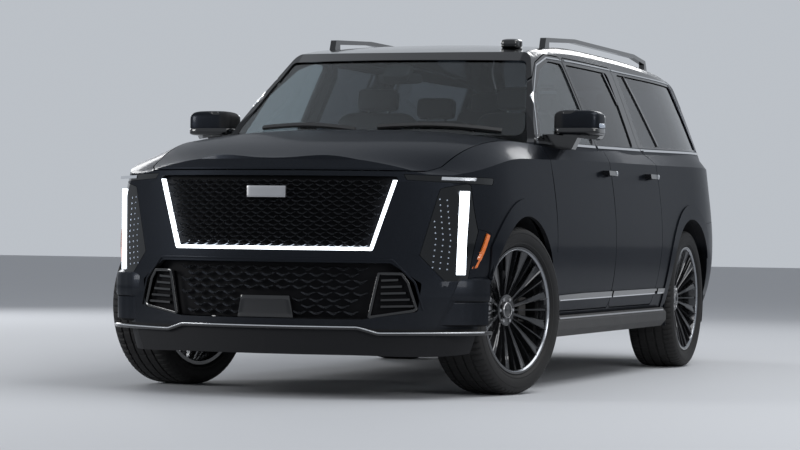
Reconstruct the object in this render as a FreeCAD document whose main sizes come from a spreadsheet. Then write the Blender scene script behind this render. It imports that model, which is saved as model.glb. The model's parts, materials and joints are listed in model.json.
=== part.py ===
"""A full-size, three-row SUV built as an assembly of named sub-parts.

Frame: +X forward, +Y to the vehicle's left, +Z up, millimetres.
The origin is the bottom centre of the bounding box: it lies on the ground, midway along the car.
"""
import FreeCAD, Part
import math
import os
import Sketcher
from FreeCAD import Placement, Rotation, Vector

SIZES = {
    # whole vehicle
    "overall_length": 5790,
    "wheelbase": 3407,
    "front_overhang": 980,
    "half_width": 1028,
    "belt_height": 1262,
    "roof_height": 1880,
    "roof_half_width": 640,
    "sill_height": 265,
    "belt_half_width": 930,
    "tumblehome": 23.5,
    # nose and tail in plan
    "nose_radius": 1420,
    "nose_setback": 35,
    "tail_radius": 3200,
    # wheels
    "tyre_radius": 419,
    "tyre_width": 285,
    "rim_radius": 318,
    "rim_width": 254,
    "rim_wall": 9,
    "wheel_inset": 35,
    "hub_radius": 88,
    "hub_setback": 62,
    "disc_radius": 195,
    "disc_thickness": 30,
    "spoke_thickness": 34,
    "window_foot": 105,
    "window_top": 280,
    "wide_spoke": 40,
    "wide_spoke_root": 16,
    "thin_spoke": 12,
    "thin_spoke_root": 7,
    "stub_radius": 40,
    "steer_angle": -13.6,
    "kingpin_inset": 66,
    # arches
    "arch_radius": 469,
    "rear_arch_radius": 485,
    "flare_width": 88,
    "flare_proud": 7,
    "liner_gap": 65,
    "liner_wall": 6,
    "steer_room": 325,
    # body walls
    "door_wall": 100,
    "frame_wall": 42,
    "roof_wall": 36,
    "hood_wall": 26,
    "fender_wall": 14,
    "bumper_wall": 42,
    "ring_gap": 12,
    "ring_wall": 34,
    "ring_lap": 30,
    "shut_gap": 6,
    # doors
    "door_front_setback": 500,
    "front_door_length": 1140,
    "rear_door_length": 1050,
    "door_bottom": 400,
    "door_top_drop": 92,
    "hinge_setback": 30,
    "hinge_inboard": 18,
    "upper_gap": 17,
    # glass
    "glass_thickness": 5,
    "glass_inset": 8,
    "seat_gap": 0.3,
    "windshield_rake": 52.9,
    "windshield_radius": 1700,
    "windshield_base": 300,
    # handles, mirrors, rails
    "handle_length": 170,
    "handle_height": 26,
    "handle_proud": 40,
    "mirror_width": 205,
    "mirror_height": 150,
    "mirror_depth": 190,
    "rail_height": 22,
    "rail_width": 34,
    "rail_stand": 42,
    # chassis
    "frame_rail_width": 80,
    "frame_rail_height": 130,
    "frame_rail_y": 420,
    "cross_depth": 90,
    "body_mount_radius": 40,
    "shaft_radius": 38,
    "exhaust_radius": 36,
    "floor_height": 560,
    "floor_thickness": 24,
    "hood_gap": 6,
    "piece_gap": 2,
    "cowl_edge": 12,
    "lamp_corner": 14,
    "grille_inset": 12,
    "grille_depth": 30,
    "grille_bar": 14,
    "grille_rib": 12,
    "light_width": 16,
    "light_depth": 26,
    "gate_depth": 420,
    "gate_relief": 14,
    "gate_skin": 30,
    "dash_depth": 470,
    "dash_inset": 70,
    "console_length": 1150,
    "mirror_place": 235,
    "mirror_inboard": 68,
    "steering_wheel_radius": 188,
    "steering_grip": 15,
    "column_angle": 24,
    "seat_width": 520,
    "seat_length": 740,
    "seat_stand": 1040,
    "seat_side": 420,
    "bench_width": 1240,
    "console_width": 250,
    "front_seat_place": 1060,
    "second_seat_place": 2080,
    "third_seat_place": 3060,
    "wheel_place": 1130,
    "wheel_height": 1165,
    "axle_tube": 50,
    "diff_radius": 140,
    "arm_radius": 20,
    "arm_lift": 165,
    "spring_radius": 48,
    "engine_length": 700,
    "engine_width": 560,
    "engine_height": 560,
    "engine_floor": 430,
    "mount_length": 90,
    "cargo_floor": 740,
    "tank_length": 720,
    "tank_width": 330,
    "tank_height": 170,
    "spare_radius": 360,
    "spare_width": 190,
    "sill_trim_height": 110,
    "sill_trim_width": 62,
    "tank_floor": 360,
    "tank_place": 1875,
    "spare_place": 4100,
    "spare_floor": 405,
    "running_gap": 5,
    "knuckle_radius": 70,
    "knuckle_length": 97,
    "upright_radius": 32,
    "joint_height": 50,
    "caliper_reach": 228,
    "caliper_width": 32,
    "caliper_leg": 7,
    "caliper_height": 120,
    "tie_arm": 140,
    "arm_spread": 150,
    "pivot_radius": 30,
    "arm_thickness": 36,
    "tower_height": 845,
    "tower_shelf": 30,
    "tower_reach": 640,
    "spring_y": 575,
    "rack_radius": 30,
    "rear_spring_radius": 60,
    "trailing_place": 712,
    "trailing_y": 510,
    "trailing_height": 430,
    "driveline_height": 465,
    "gearbox_radius": 90,
    "exhaust_y": 235,
    "exhaust_height": 480,
    "converter_radius": 60,
    "muffler_radius": 70,
    "tail_pipe_y": 560,
    "handle_grip": 16,
    "handle_foot": 28,
    "overrun": 60,
}

doc = FreeCAD.newDocument("suv")
sheet = doc.addObject("Spreadsheet::Sheet", "sizes")
for row, (alias, value) in enumerate(SIZES.items(), start=1):
    sheet.set("A%d" % row, alias)
    sheet.set("B%d" % row, str(value))
    sheet.setAlias("B%d" % row, alias)
doc.recompute()


def size(alias):
    """The number in one named cell of the sheet."""
    return float(sheet.get(alias))


HALF_LENGTH = size("overall_length") / 2
FRONT_AXLE = HALF_LENGTH - size("front_overhang")
REAR_AXLE = FRONT_AXLE - size("wheelbase")
REAR_OVERHANG = HALF_LENGTH + REAR_AXLE
HALF_WIDTH = size("half_width")
BELT = size("belt_height")
GREENHOUSE = size("roof_height") - BELT
RIM_Y = HALF_WIDTH - size("wheel_inset") - size("rim_width") / 2
KINGPIN_Y = RIM_Y - size("kingpin_inset")
GAP = size("shut_gap")
REACH = size("overall_length")
SEAT = size("seat_gap")


def along(share):
    """X of a place: 1 is the nose, 0 the front axle, -1 the rear axle and -2 the tail."""
    if share > 0:
        return FRONT_AXLE + share * size("front_overhang")
    if share > -1:
        return FRONT_AXLE + share * size("wheelbase")
    return REAR_AXLE + (share + 1) * REAR_OVERHANG


def up(share):
    """Z of a place: 0 is the ground, 1 the belt line and 2 the roof's highest line."""
    if share < 1:
        return share * BELT
    return BELT + (share - 1) * GREENHOUSE


# Curves and solids used all over


def spline(points):
    """One smooth edge through the points."""
    curve = Part.BSplineCurve()
    curve.interpolate(points)
    return curve.toShape()


def on_plane(plane, u, v):
    """A point of the XZ, XY or YZ plane."""
    if plane == "XZ":
        return Vector(u, 0, v)
    if plane == "XY":
        return Vector(u, v, 0)
    return Vector(0, u, v)


NORMALS = {"XZ": Vector(0, 1, 0), "XY": Vector(0, 0, 1), "YZ": Vector(1, 0, 0)}


def outline(plane, points, radius=0):
    """A closed wire through the points, its corners rounded."""
    corners = [on_plane(plane, point[0], point[1]) for point in points]
    bends = []
    count = len(corners)
    for i, here in enumerate(corners):
        back = corners[i - 1] - here
        ahead = corners[(i + 1) % count] - here
        half_turn = back.getAngle(ahead) / 2
        reach = min(radius / math.tan(half_turn), 0.49 * back.Length, 0.49 * ahead.Length)
        back.normalize()
        ahead.normalize()
        if reach > SEAT:
            bow = (back + ahead).normalize()
            real = reach * math.tan(half_turn)
            middle = here + bow * (real / math.sin(half_turn) - real)
            bends.append((here + back * reach, middle, here + ahead * reach))
        else:
            bends.append((here,))
    edges = []
    for i, bend in enumerate(bends):
        if len(bend) == 3:
            edges.append(Part.Arc(*bend).toShape())
        edges.append(Part.makeLine(bend[-1], bends[(i + 1) % count][0]))
    return Part.Wire(edges)


def prism(plane, points, low, high, radius=0):
    """The outline of the points, drawn in a plane and run from low to high along its normal."""
    face = Part.Face(outline(plane, points, radius))
    face.translate(NORMALS[plane] * low)
    return face.extrude(NORMALS[plane] * (high - low))


def block(x_low, x_high, y_low, y_high, z_low, z_high):
    """A plain box between two corners."""
    return Part.makeBox(x_high - x_low, y_high - y_low, z_high - z_low, Vector(x_low, y_low, z_low))


def rod(start, end, radius):
    """A round bar between two points."""
    axis = end - start
    return Part.makeCylinder(radius, axis.Length, start, axis)


def spun(points, centre_x, radius=0):
    """A profile of (distance, height) turned about a vertical line at centre_x."""
    face = Part.Face(outline("XZ", points, radius))
    solid = face.revolve(Vector(0, 0, 0), Vector(0, 0, 1), 360)
    solid.translate(Vector(centre_x, 0, 0))
    return solid


def mirrored(shape):
    """The same shape on the vehicle's other side."""
    return shape.mirror(Vector(0, 0, 0), Vector(0, 1, 0))


def joined(shapes):
    """One shape out of several that touch or overlap."""
    first, *rest = shapes
    return first.fuse(rest).removeSplitter() if rest else first


def largest(shape):
    """The biggest solid of a shape, without slivers."""
    return max(shape.Solids, key=lambda solid: solid.Volume)


def both_sides(shape):
    """A shape and its mirror image, as separate solids."""
    return Part.makeCompound(shape.Solids + mirrored(shape).Solids)


NODES = []


def node(thing):
    """Lists a finished object as one of the vehicle's pieces."""
    NODES.append(thing)


def panel(name, shape):
    """A piece that carries a worked-out shape."""
    thing = doc.addObject("Part::Feature", name)
    thing.Label = name
    thing.Shape = shape
    node(thing)


# The body's outer form. Each row: place along the car, half width, bottom, shoulder line's width and
# height, hood or belt line's width and height, crown height
STATION_SHARES = [
    (1.143, 0.42, 0.165, 0.955, 0.840, 0.88, 0.885, 0.895),
    (0.816, 0.69, 0.165, 0.955, 0.845, 0.88, 0.895, 0.908),
    (0.653, 0.868, 0.165, 0.955, 0.855, 0.83, 0.870, 0.935),
    (0.450, 0.952, 0.175, 0.955, 0.883, 0.79, 0.925, 0.973),
    (0.113, 0.988, 0.200, 0.955, 0.925, 0.80, 0.985, 1.022),
    (-0.073, 0.997, 0.210, 0.955, 0.935, 0.845, 1.005, 1.052),
    (-0.160, 1.0, 0.210, 0.957, 0.940, 0.905, 0.995, 1.020),
    (-0.580, 1.0, 0.210, 0.957, 0.957, 0.900, 1.013, 1.020),
    (-1.000, 1.0, 0.210, 0.957, 0.972, 0.883, 1.040, 1.045),
    (-1.351, 0.990, 0.220, 0.955, 0.976, 0.880, 1.046, 1.050),
    (-1.600, 0.930, 0.240, 0.955, 0.976, 0.880, 1.046, 1.050),
    (-1.886, 0.822, 0.255, 0.955, 0.976, 0.880, 1.046, 1.050),
    (-2.135, 0.56, 0.260, 0.955, 0.976, 0.880, 1.046, 1.050),
]
SIDE_SHARES = [(0.905, None), (0.975, 0.38), (1.0, 0.6735)]
CROWN_WIDTH_SHARE = 0.55
CROWN_RISE_SHARE = 0.8


def body_section(row, inset, drop):
    """One closed cross-section of the lower body, drawn in by inset and down by drop."""
    place, width, bottom, shoulder_y, shoulder_z, band_y, band_z, crown = row
    x = along(place)
    half = width * HALF_WIDTH - inset
    dip = size("overrun") if inset > 0 else 0
    heights = [up(bottom) - dip if share is None else up(share) for _, share in SIDE_SHARES]

    def side(sign):
        points = [Vector(x, sign * half * spread, height)
                  for (spread, _), height in zip(SIDE_SHARES, heights)]
        return points + [Vector(x, sign * half * shoulder_y, up(shoulder_z))]

    right, left = side(-1), side(1)
    band_right = Vector(x, -band_y * half, BELT * band_z - drop)
    band_left = Vector(x, band_y * half, BELT * band_z - drop)
    top = BELT * crown - drop
    rise = band_left.z + (top - band_left.z) * CROWN_RISE_SHARE
    hump = [band_right, Vector(x, band_right.y * CROWN_WIDTH_SHARE, rise), Vector(x, 0, top),
            Vector(x, band_left.y * CROWN_WIDTH_SHARE, rise), band_left]
    return Part.Wire([Part.makeLine(left[0], right[0]), spline(right), Part.makeLine(right[-1], band_right),
                      spline(hump), Part.makeLine(band_left, left[-1]), spline(left[::-1])])


# The nose's profile at its centre: how far each height stands behind the foremost line, as a share
# of the front overhang, and that height
NOSE_SHARES = [(0.045, 0.10), (0.030, 0.28), (0.027, 0.39), (0.036, 0.825), (0.060, 0.875), (0.108, 0.908),
               (0.150, 1.30)]
TAIL_SHARES = [(-1.90, 0.10), (-1.985, 0.42), (-2.0, 0.58), (-1.94, 0.70), (-1.92, 0.85), (-1.862, 1.16),
               (-1.75, 2.3)]


def nose_cutter(inset):
    """What lies ahead of the nose: a block less the turned nose form."""
    centre = HALF_LENGTH - size("nose_radius") - size("nose_setback")
    points = [(0, up(0.10))]
    for share, height in NOSE_SHARES:
        points.append((HALF_LENGTH - share * size("front_overhang") - inset - centre, up(height)))
    points.append((0, up(1.30)))
    ahead = block(centre + size("nose_radius") / 2, HALF_LENGTH + REACH, -REACH, REACH, up(0.10), up(1.30))
    return ahead.cut(spun(points, centre))


def tail_cutter(inset):
    """What lies behind the tail: a block less the turned tail form."""
    centre = -HALF_LENGTH + size("tail_radius")
    points = [(0, up(0.10))]
    for share, height in TAIL_SHARES:
        points.append((centre - along(share) - inset, up(height)))
    points.append((0, up(2.3)))
    behind = block(-HALF_LENGTH - REACH, centre - size("tail_radius") / 2, -REACH, REACH, up(0.10), up(2.3))
    return behind.cut(spun(points, centre))


def body_loft(inset, drop):
    """The lower body's side and top surfaces, its ends left long, drawn in by inset and down by drop."""
    return Part.makeLoft([body_section(row, inset, drop) for row in STATION_SHARES], True, False)


# The cabin's upper form. Each row: place along the car, width and roof height
CABIN_SHARES = [
    (0.100, 0.930, 1.30), (-0.180, 0.943, 1.695), (-0.300, 0.958, 1.848), (-0.411, 0.975, 1.939),
    (-0.680, 1.0, 2.0), (-1.200, 0.998, 1.962), (-1.560, 0.945, 1.920), (-1.850, 0.855, 1.882),
    (-2.10, 0.770, 1.846),
]
EDGE_DROP_SHARE = 0.089
CORNER_DROP_SHARE = 0.029
CORNER_IN_SHARE = 0.05
CABIN_FOOT_SHARE = 0.943
BULGE_SHARE = 0.006
CORNER_BOW_SHARE = 0.006


def cabin_width(z):
    """Half width of the side glass at a height, before the plan taper."""
    return size("belt_half_width") - (z - BELT) * math.tan(math.radians(size("tumblehome")))


def cabin_section(row, inset, drop, foot):
    """One closed cross-section of the cabin, open to nothing, its foot below the belt."""
    place, taper, roof = row
    x = along(place)
    top = up(roof) - drop
    edge_z = top - EDGE_DROP_SHARE * GREENHOUSE
    edge_y = cabin_width(edge_z) * taper - inset
    foot_y = cabin_width(foot) * taper - inset
    middle_z = (foot + edge_z) / 2
    middle_y = (foot_y + edge_y) / 2 + BULGE_SHARE * HALF_WIDTH
    corner_y = edge_y - CORNER_IN_SHARE * HALF_WIDTH
    corner_z = top - CORNER_DROP_SHARE * GREENHOUSE

    def at(y, z):
        return Vector(x, y, z)

    bow_y = (edge_y + corner_y) / 2 + CORNER_BOW_SHARE * HALF_WIDTH
    bow_z = (edge_z + corner_z) / 2 + CORNER_BOW_SHARE * HALF_WIDTH
    foot_left, foot_right = at(foot_y, foot), at(-foot_y, foot)
    edge_left, edge_right = at(edge_y, edge_z), at(-edge_y, edge_z)
    corner_left, corner_right = at(corner_y, corner_z), at(-corner_y, corner_z)
    return Part.Wire([Part.makeLine(foot_left, foot_right),
                      Part.Arc(foot_right, at(-middle_y, middle_z), edge_right).toShape(),
                      Part.Arc(edge_right, at(-bow_y, bow_z), corner_right).toShape(),
                      Part.Arc(corner_right, at(0, top), corner_left).toShape(),
                      Part.Arc(corner_left, at(bow_y, bow_z), edge_left).toShape(),
                      Part.Arc(edge_left, at(middle_y, middle_z), foot_left).toShape()])


def windshield_cutter(inset):
    """What lies ahead of the windshield's surface, which is a plan arc run up along its rake."""
    slope = math.tan(math.radians(size("windshield_rake")))
    along_x = inset / math.cos(math.radians(size("windshield_rake")))
    apex = FRONT_AXLE - size("windshield_base") + BELT * slope - along_x
    radius = size("windshield_radius")
    bow = radius - math.sqrt(radius ** 2 - HALF_WIDTH ** 2)
    arc = Part.Arc(Vector(apex - bow, -HALF_WIDTH, 0), Vector(apex, 0, 0), Vector(apex - bow, HALF_WIDTH, 0))
    far = apex + REACH
    lines = [Part.makeLine(Vector(apex - bow, HALF_WIDTH, 0), Vector(far, HALF_WIDTH, 0)),
             Part.makeLine(Vector(far, HALF_WIDTH, 0), Vector(far, -HALF_WIDTH, 0)),
             Part.makeLine(Vector(far, -HALF_WIDTH, 0), Vector(apex - bow, -HALF_WIDTH, 0))]
    height = up(2.3)
    return Part.Face(Part.Wire([arc.toShape()] + lines)).extrude(Vector(-slope * height, 0, height))


def cabin_loft(inset, drop, foot):
    """The cabin's sides and roof above a foot height, its ends left long."""
    return Part.makeLoft([cabin_section(row, inset, drop, foot) for row in CABIN_SHARES], True, False)


def cabin_form(inset, drop, foot):
    """The cabin's closed form above a foot height."""
    return cabin_loft(inset, drop, foot).cut(windshield_cutter(inset)).cut(tail_cutter(inset))


# Cut lines of the doors, seen from the side, as (place along the car, height)
DOOR_FRONT = FRONT_AXLE - size("door_front_setback")
DOOR_MIDDLE = DOOR_FRONT - size("front_door_length")
DOOR_REAR = DOOR_MIDDLE - size("rear_door_length")
DOOR_BOTTOM = size("door_bottom")
DOOR_TOP = size("roof_height") - size("door_top_drop")
DOOR_CORNER_SHARE = 0.04
A_PILLAR_SHARES = [(-0.396, 2.0), (-0.332, 1.757), (-0.245, 1.49), (-0.176, 1.061)]
C_PILLAR_SHARES = [(-0.745, 1.085), (-0.778, 2.0)]
REAR_DOOR_SLANT_SHARE = 0.08


def clipped(shares):
    """Places and heights of a pillar line, its top end brought down to the doors' top."""
    return [(along(place), min(up(height), DOOR_TOP)) for place, height in shares]


def front_door_outline():
    """Corners of the front door, anticlockwise from its foot at the front."""
    lean = size("upper_gap") - GAP
    return ([(DOOR_FRONT, DOOR_BOTTOM), (DOOR_MIDDLE, DOOR_BOTTOM), (DOOR_MIDDLE, BELT),
             (DOOR_MIDDLE + lean, DOOR_TOP)] + clipped(A_PILLAR_SHARES) + [(DOOR_FRONT, up(0.985))])


def rear_door_outline():
    """Corners of the rear door, anticlockwise from its foot at the front."""
    slant = REAR_DOOR_SLANT_SHARE * size("rear_door_length")
    return ([(DOOR_MIDDLE, DOOR_BOTTOM), (DOOR_REAR + slant, DOOR_BOTTOM), (DOOR_REAR, up(0.6)),
             (DOOR_REAR, up(0.99))] + clipped(C_PILLAR_SHARES) + [(DOOR_MIDDLE, DOOR_TOP)])


def side_prism(points, grow=0, radius=0):
    """A side-view outline run out across the left half, grown or shrunk all round."""
    face = Part.Face(outline("XZ", points, radius))
    if grow:
        face = face.makeOffset2D(grow)
    return face.extrude(Vector(0, HALF_WIDTH + REACH / 4, 0))


CORNER_RADIUS = DOOR_CORNER_SHARE * size("front_door_length")
DOOR_OUTLINES = {"front": front_door_outline(), "rear": rear_door_outline()}
DOOR_HINGES = {"front": DOOR_FRONT - size("hinge_setback"), "rear": DOOR_MIDDLE - size("hinge_setback")}
HINGE_Y = HALF_WIDTH - size("hinge_inboard")

# Side windows, as (place along the car, height): each a little inside its frame
GLASS_SHARES = {
    "front": [(-0.205, 1.045), (-0.471, 1.06), (-0.471, 1.79), (-0.405, 1.79), (-0.345, 1.70), (-0.262, 1.45)],
    "rear": [(-0.492, 1.06), (-0.709, 1.08), (-0.738, 1.79), (-0.492, 1.79)],
    "quarter": [(-0.772, 1.10), (-1.585, 1.15), (-1.528, 1.80), (-0.805, 1.80)],
}
WINDOW_CORNER_SHARE = 0.05


def window_prism(which, grow=0):
    """One side window's opening, run out across the left half."""
    points = [(along(place), up(height)) for place, height in GLASS_SHARES[which]]
    return side_prism(points, grow, WINDOW_CORNER_SHARE * GREENHOUSE)


def arch_prism(axle_x, radius):
    """A wheel arch's round opening with straight sides down to the ground."""
    centre = Vector(axle_x, 0, size("tyre_radius"))
    drum = Part.makeCylinder(radius, HALF_WIDTH + REACH / 4, centre, Vector(0, 1, 0))
    slot = block(axle_x - radius, axle_x + radius, 0, HALF_WIDTH + REACH / 4, -radius, size("tyre_radius"))
    return drum.fuse(slot)


FOOT = up(CABIN_FOOT_SHARE)
OPEN_TOP = -size("door_wall") * 3
NOSE_CUT = nose_cutter(0)
TAIL_CUT = tail_cutter(0)
LEFT = block(-REACH, REACH, 0, REACH, -REACH, REACH)
FRONT_BLOCK = block(DOOR_FRONT + GAP / 2, REACH, 0, REACH, -REACH, REACH)
REAR_BLOCK = block(-REACH, DOOR_FRONT + GAP / 2 - size("piece_gap"), 0, REACH, -REACH, REACH)
NOSE_BLOCK = block(along(0.28), REACH, 0, REACH, -REACH, REACH)
TAIL_BLOCK = block(-REACH, along(-1.25), 0, REACH, -REACH, REACH)

OUTER_LOFT = body_loft(0, 0)
FRONT = OUTER_LOFT.common(FRONT_BLOCK).cut(NOSE_CUT)
REAR = OUTER_LOFT.common(REAR_BLOCK).cut(TAIL_CUT)
SKIN_INNER = body_loft(size("fender_wall"), size("hood_wall"))
SKIN = FRONT.cut(SKIN_INNER.cut(nose_cutter(size("fender_wall"))))
NOSE_SHELL = FRONT.common(NOSE_BLOCK).cut(
    body_loft(size("bumper_wall"), size("bumper_wall")).cut(nose_cutter(size("bumper_wall"))))
TAIL_SHELL = REAR.common(TAIL_BLOCK).cut(
    body_loft(size("bumper_wall"), size("bumper_wall")).cut(tail_cutter(size("bumper_wall"))))
WALL_INNER = body_loft(size("door_wall"), OPEN_TOP).common(LEFT).cut(tail_cutter(size("door_wall")))
CABIN_OUTER = cabin_form(0, 0, FOOT).common(LEFT)
CABIN_CORE = cabin_loft(size("frame_wall"), size("roof_wall"), FOOT - size("overrun")).common(LEFT)
CABIN_INNER = CABIN_CORE.cut(windshield_cutter(size("frame_wall"))).cut(tail_cutter(size("frame_wall")))
LOWER_WALL = REAR.cut(WALL_INNER)
UPPER_WALL = CABIN_OUTER.cut(CABIN_INNER)


def hinge_relief(which):
    """Room for the edge of a door as it swings about its hinge line."""
    edge = size("hinge_setback") - GAP / 2
    sweep = math.hypot(edge, size("hinge_inboard")) + GAP
    return Part.makeCylinder(sweep, DOOR_TOP, Vector(DOOR_HINGES[which], HINGE_Y, 0))


def inner_sweep(which):
    """Room for the inner corner of a door as it swings about its hinge line."""
    depth = HINGE_Y - (HALF_WIDTH * STATION_SHARES[7][3] - size("door_wall"))
    sweep = math.hypot(size("hinge_setback") - GAP / 2, depth) + size("running_gap")
    return Part.makeCylinder(sweep, DOOR_TOP, Vector(DOOR_HINGES[which], HINGE_Y, 0))


# Pieces of the skin, seen from the front, the rear or above, as shares of half width and of the belt
GRILLE_SHARES = [(0.602, 0.843), (0.496, 0.563)]
GRILLE_BAR_SHARES = [(0.580, 0.838), (0.478, 0.578)]
LAMP_SHARES = [(0.775, 0.800), (0.880, 0.822), (0.915, 0.64), (0.882, 0.455), (0.802, 0.449), (0.697, 0.548)]
SLIM_LAMP_SHARES = [(0.622, 0.852), (0.935, 0.845), (0.935, 0.820), (0.638, 0.832)]
INTAKE_SHARES = [(0.577, 0.515), (0.705, 0.44), (0.690, 0.335), (0.45, 0.305)]
GATE_SHARES = [(0.74, 0.70), (0.755, 0.93), (0.70, 1.10), (0.556, 1.80), (0.556, 2.1)]
GATE_GLASS_SHARES = [(0.625, 1.12), (0.500, 1.80)]
TAIL_LAMP_SHARES = [(0.770, 0.74), (0.90, 0.72), (0.90, 0.98), (0.82, 1.12), (0.715, 1.60), (0.66, 1.60)]
HOOD_SHARES = [(0.82, 0.632), (0.592, 0.735), (0.35, 0.758), (0.0, 0.79), (-0.083, 0.812), (-0.116, 0.79)]
HOOD_REAR_SHARE = -0.068
HOOD_LIP_SHARE = 0.868
COWL_WIDTH_SHARE = 0.77
FENDER_EDGE_SHARES = [(0.47, 0.10), (0.47, 0.635), (0.612, 0.655), (0.612, 1.2)]
BUMPER_EDGE_SHARES = [(-1.30, 0.20), (-1.30, 0.70), (-1.98, 0.715)]


def facing(shares, low, high, grow=0, radius=0):
    """A front-view outline, mirrored about the centre, run along the car from low to high."""
    right = [(-y * HALF_WIDTH, up(z)) for y, z in shares]
    left = [(y * HALF_WIDTH, up(z)) for y, z in reversed(shares)]
    face = Part.Face(outline("YZ", right + left, radius))
    if grow:
        face = face.makeOffset2D(grow)
    face.translate(Vector(low, 0, 0))
    return face.extrude(Vector(high - low, 0, 0))


def facing_pair(shares, low, high, grow=0, radius=0):
    """A front-view outline on the left and its mirror image on the right, run along the car."""
    face = Part.Face(outline("YZ", [(y * HALF_WIDTH, up(z)) for y, z in shares], radius))
    if grow:
        face = face.makeOffset2D(grow)
    face.translate(Vector(low, 0, 0))
    solid = face.extrude(Vector(high - low, 0, 0))
    return solid.fuse(mirrored(solid))


def hood_region(grow=0):
    """The hood's outline in plan, run up through the body's top."""
    left = [(along(place), y * HALF_WIDTH) for place, y in HOOD_SHARES]
    nose = HALF_LENGTH + size("overrun")
    sides = [Vector(nose, left[0][1], 0)] + [Vector(x, y, 0) for x, y in left]
    right = [Vector(point.x, -point.y, 0) for point in reversed(sides)]
    rear = Part.Arc(sides[-1], Vector(along(HOOD_REAR_SHARE), 0, 0), right[0]).toShape()
    edges = [Part.makeLine(a, b) for a, b in zip(sides, sides[1:])]
    edges += [rear] + [Part.makeLine(a, b) for a, b in zip(right, right[1:])]
    edges.append(Part.makeLine(right[-1], sides[0]))
    face = Part.Face(Part.Wire(edges))
    if grow:
        face = face.makeOffset2D(grow)
    face.translate(Vector(0, 0, up(HOOD_LIP_SHARE) - grow))
    return face.extrude(Vector(0, 0, REACH / 4))


PIECE_GAP = size("piece_gap")
ROOF_HALF_WIDTH = size("roof_half_width")
ROOF_BAND = block(along(-1.779), FRONT_AXLE, -ROOF_HALF_WIDTH, ROOF_HALF_WIDTH, up(1.6), REACH)
ROOF_GAP = block(along(-1.779), FRONT_AXLE, -ROOF_HALF_WIDTH - GAP, ROOF_HALF_WIDTH + GAP, up(1.6), REACH)
COWL_SHARES = (-0.16, 0.90, 1.08)
WINDSHIELD_SHARES = [(0.792, 1.08), (0.655, 1.765)]
WINDSHIELD_CUT = facing(WINDSHIELD_SHARES, along(-0.42), FRONT_AXLE, 0, WINDOW_CORNER_SHARE * GREENHOUSE)
WINDSHIELD_GAP = facing(WINDSHIELD_SHARES, along(-0.42), FRONT_AXLE, GAP, WINDOW_CORNER_SHARE * GREENHOUSE)
DOOR_BAND = block(DOOR_REAR - size("door_wall") * 3, DOOR_FRONT + size("door_wall") * 3, 0, REACH, 0, REACH)
DOOR_STOCK = LOWER_WALL.common(DOOR_BAND).fuse(UPPER_WALL.common(DOOR_BAND)).cut(CABIN_CORE)


def door_shape(which):
    """A left door: its slice of the side's wall, with the window cut, and its handle."""
    shape = DOOR_STOCK.common(side_prism(DOOR_OUTLINES[which], -GAP / 2, CORNER_RADIUS))
    shape = shape.cut([window_prism(which), WINDSHIELD_GAP, ROOF_GAP])
    if which == "front":
        shape = shape.cut(hinge_relief("rear"))
    return largest(shape)


LEFT_DOORS = {which: door_shape(which) for which in ("front", "rear")}


# The frame that the doors close against, inside their walls and round each door's edge
RING_STATION_SHARES = [(-0.12, 0.930, 1.37), (-0.180, 0.943, 1.56), (-0.300, 0.958, 1.71), (-0.411, 0.975, 1.80),
                       (-0.680, 1.0, 1.83), (-0.95, 1.0, 1.83)]


def ring_shell(gap, wall):
    """A thin shell that follows the side's inner face, a gap inside it, from the sill to the roof rail."""
    inner_half = HALF_WIDTH - size("door_wall")
    sections = []
    for place, taper, top in RING_STATION_SHARES:
        line = [(inner_half * SIDE_SHARES[0][0], size("sill_height"))]
        line += [(inner_half * spread, up(height)) for spread, height in SIDE_SHARES[1:]]
        shoulder_z = up(STATION_SHARES[7][4])
        line.append((min(inner_half * STATION_SHARES[7][3], cabin_width(shoulder_z) * taper - size("frame_wall")),
                     shoulder_z))
        for share in (1.02, top):
            line.append((cabin_width(up(share)) * taper - size("frame_wall"), up(share)))
        outer = [Vector(along(place), y - gap, z) for y, z in line]
        inner = [Vector(along(place), y - gap - wall, z) for y, z in reversed(line)]
        sections.append(Part.makePolygon(outer + inner + [outer[0]]))
    return Part.makeLoft(sections, True, True)


def ring_shape():
    """The left door frame: pillars, sill and roof rail that lap the doors' inner faces."""
    overlap = size("ring_gap")
    seated = ring_shell(-overlap, size("ring_wall") + 2 * overlap)
    lapped = ring_shell(size("ring_gap"), size("ring_wall"))
    around = [side_prism(DOOR_OUTLINES[which], size("ring_lap"), CORNER_RADIUS) for which in ("front", "rear")]
    within = [side_prism(DOOR_OUTLINES[which], GAP, CORNER_RADIUS) for which in ("front", "rear")]
    through = [side_prism(DOOR_OUTLINES[which], -size("ring_lap"), CORNER_RADIUS) for which in ("front", "rear")]
    region = around[0].fuse(around[1])
    behind_glass = windshield_cutter(size("glass_inset") + size("glass_thickness") + PIECE_GAP)
    scuttle = block(along(COWL_SHARES[0]), FRONT_AXLE, 0, REACH, up(COWL_SHARES[1]), up(COWL_SHARES[2]))
    return seated.cut(within).fuse(lapped).common(region).cut(through + [behind_glass, scuttle, ROOF_GAP])


NOSE_START = along(0.30)
NOSE_END = HALF_LENGTH + size("overrun")
TAIL_START = along(-1.70)
TAIL_END = -HALF_LENGTH - size("overrun")
LAMP_RADIUS = size("lamp_corner")


def seen_from_side(shares, x_end, grow=0):
    """The region of the side view from a step line to the end of the car."""
    points = [(along(place), up(height)) for place, height in shares]
    points += [(x_end, points[-1][1]), (x_end, points[0][1])]
    face = Part.Face(outline("XZ", points))
    if grow:
        face = face.makeOffset2D(grow)
    face.translate(Vector(0, -REACH, 0))
    return face.extrude(Vector(0, 2 * REACH, 0))


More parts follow.
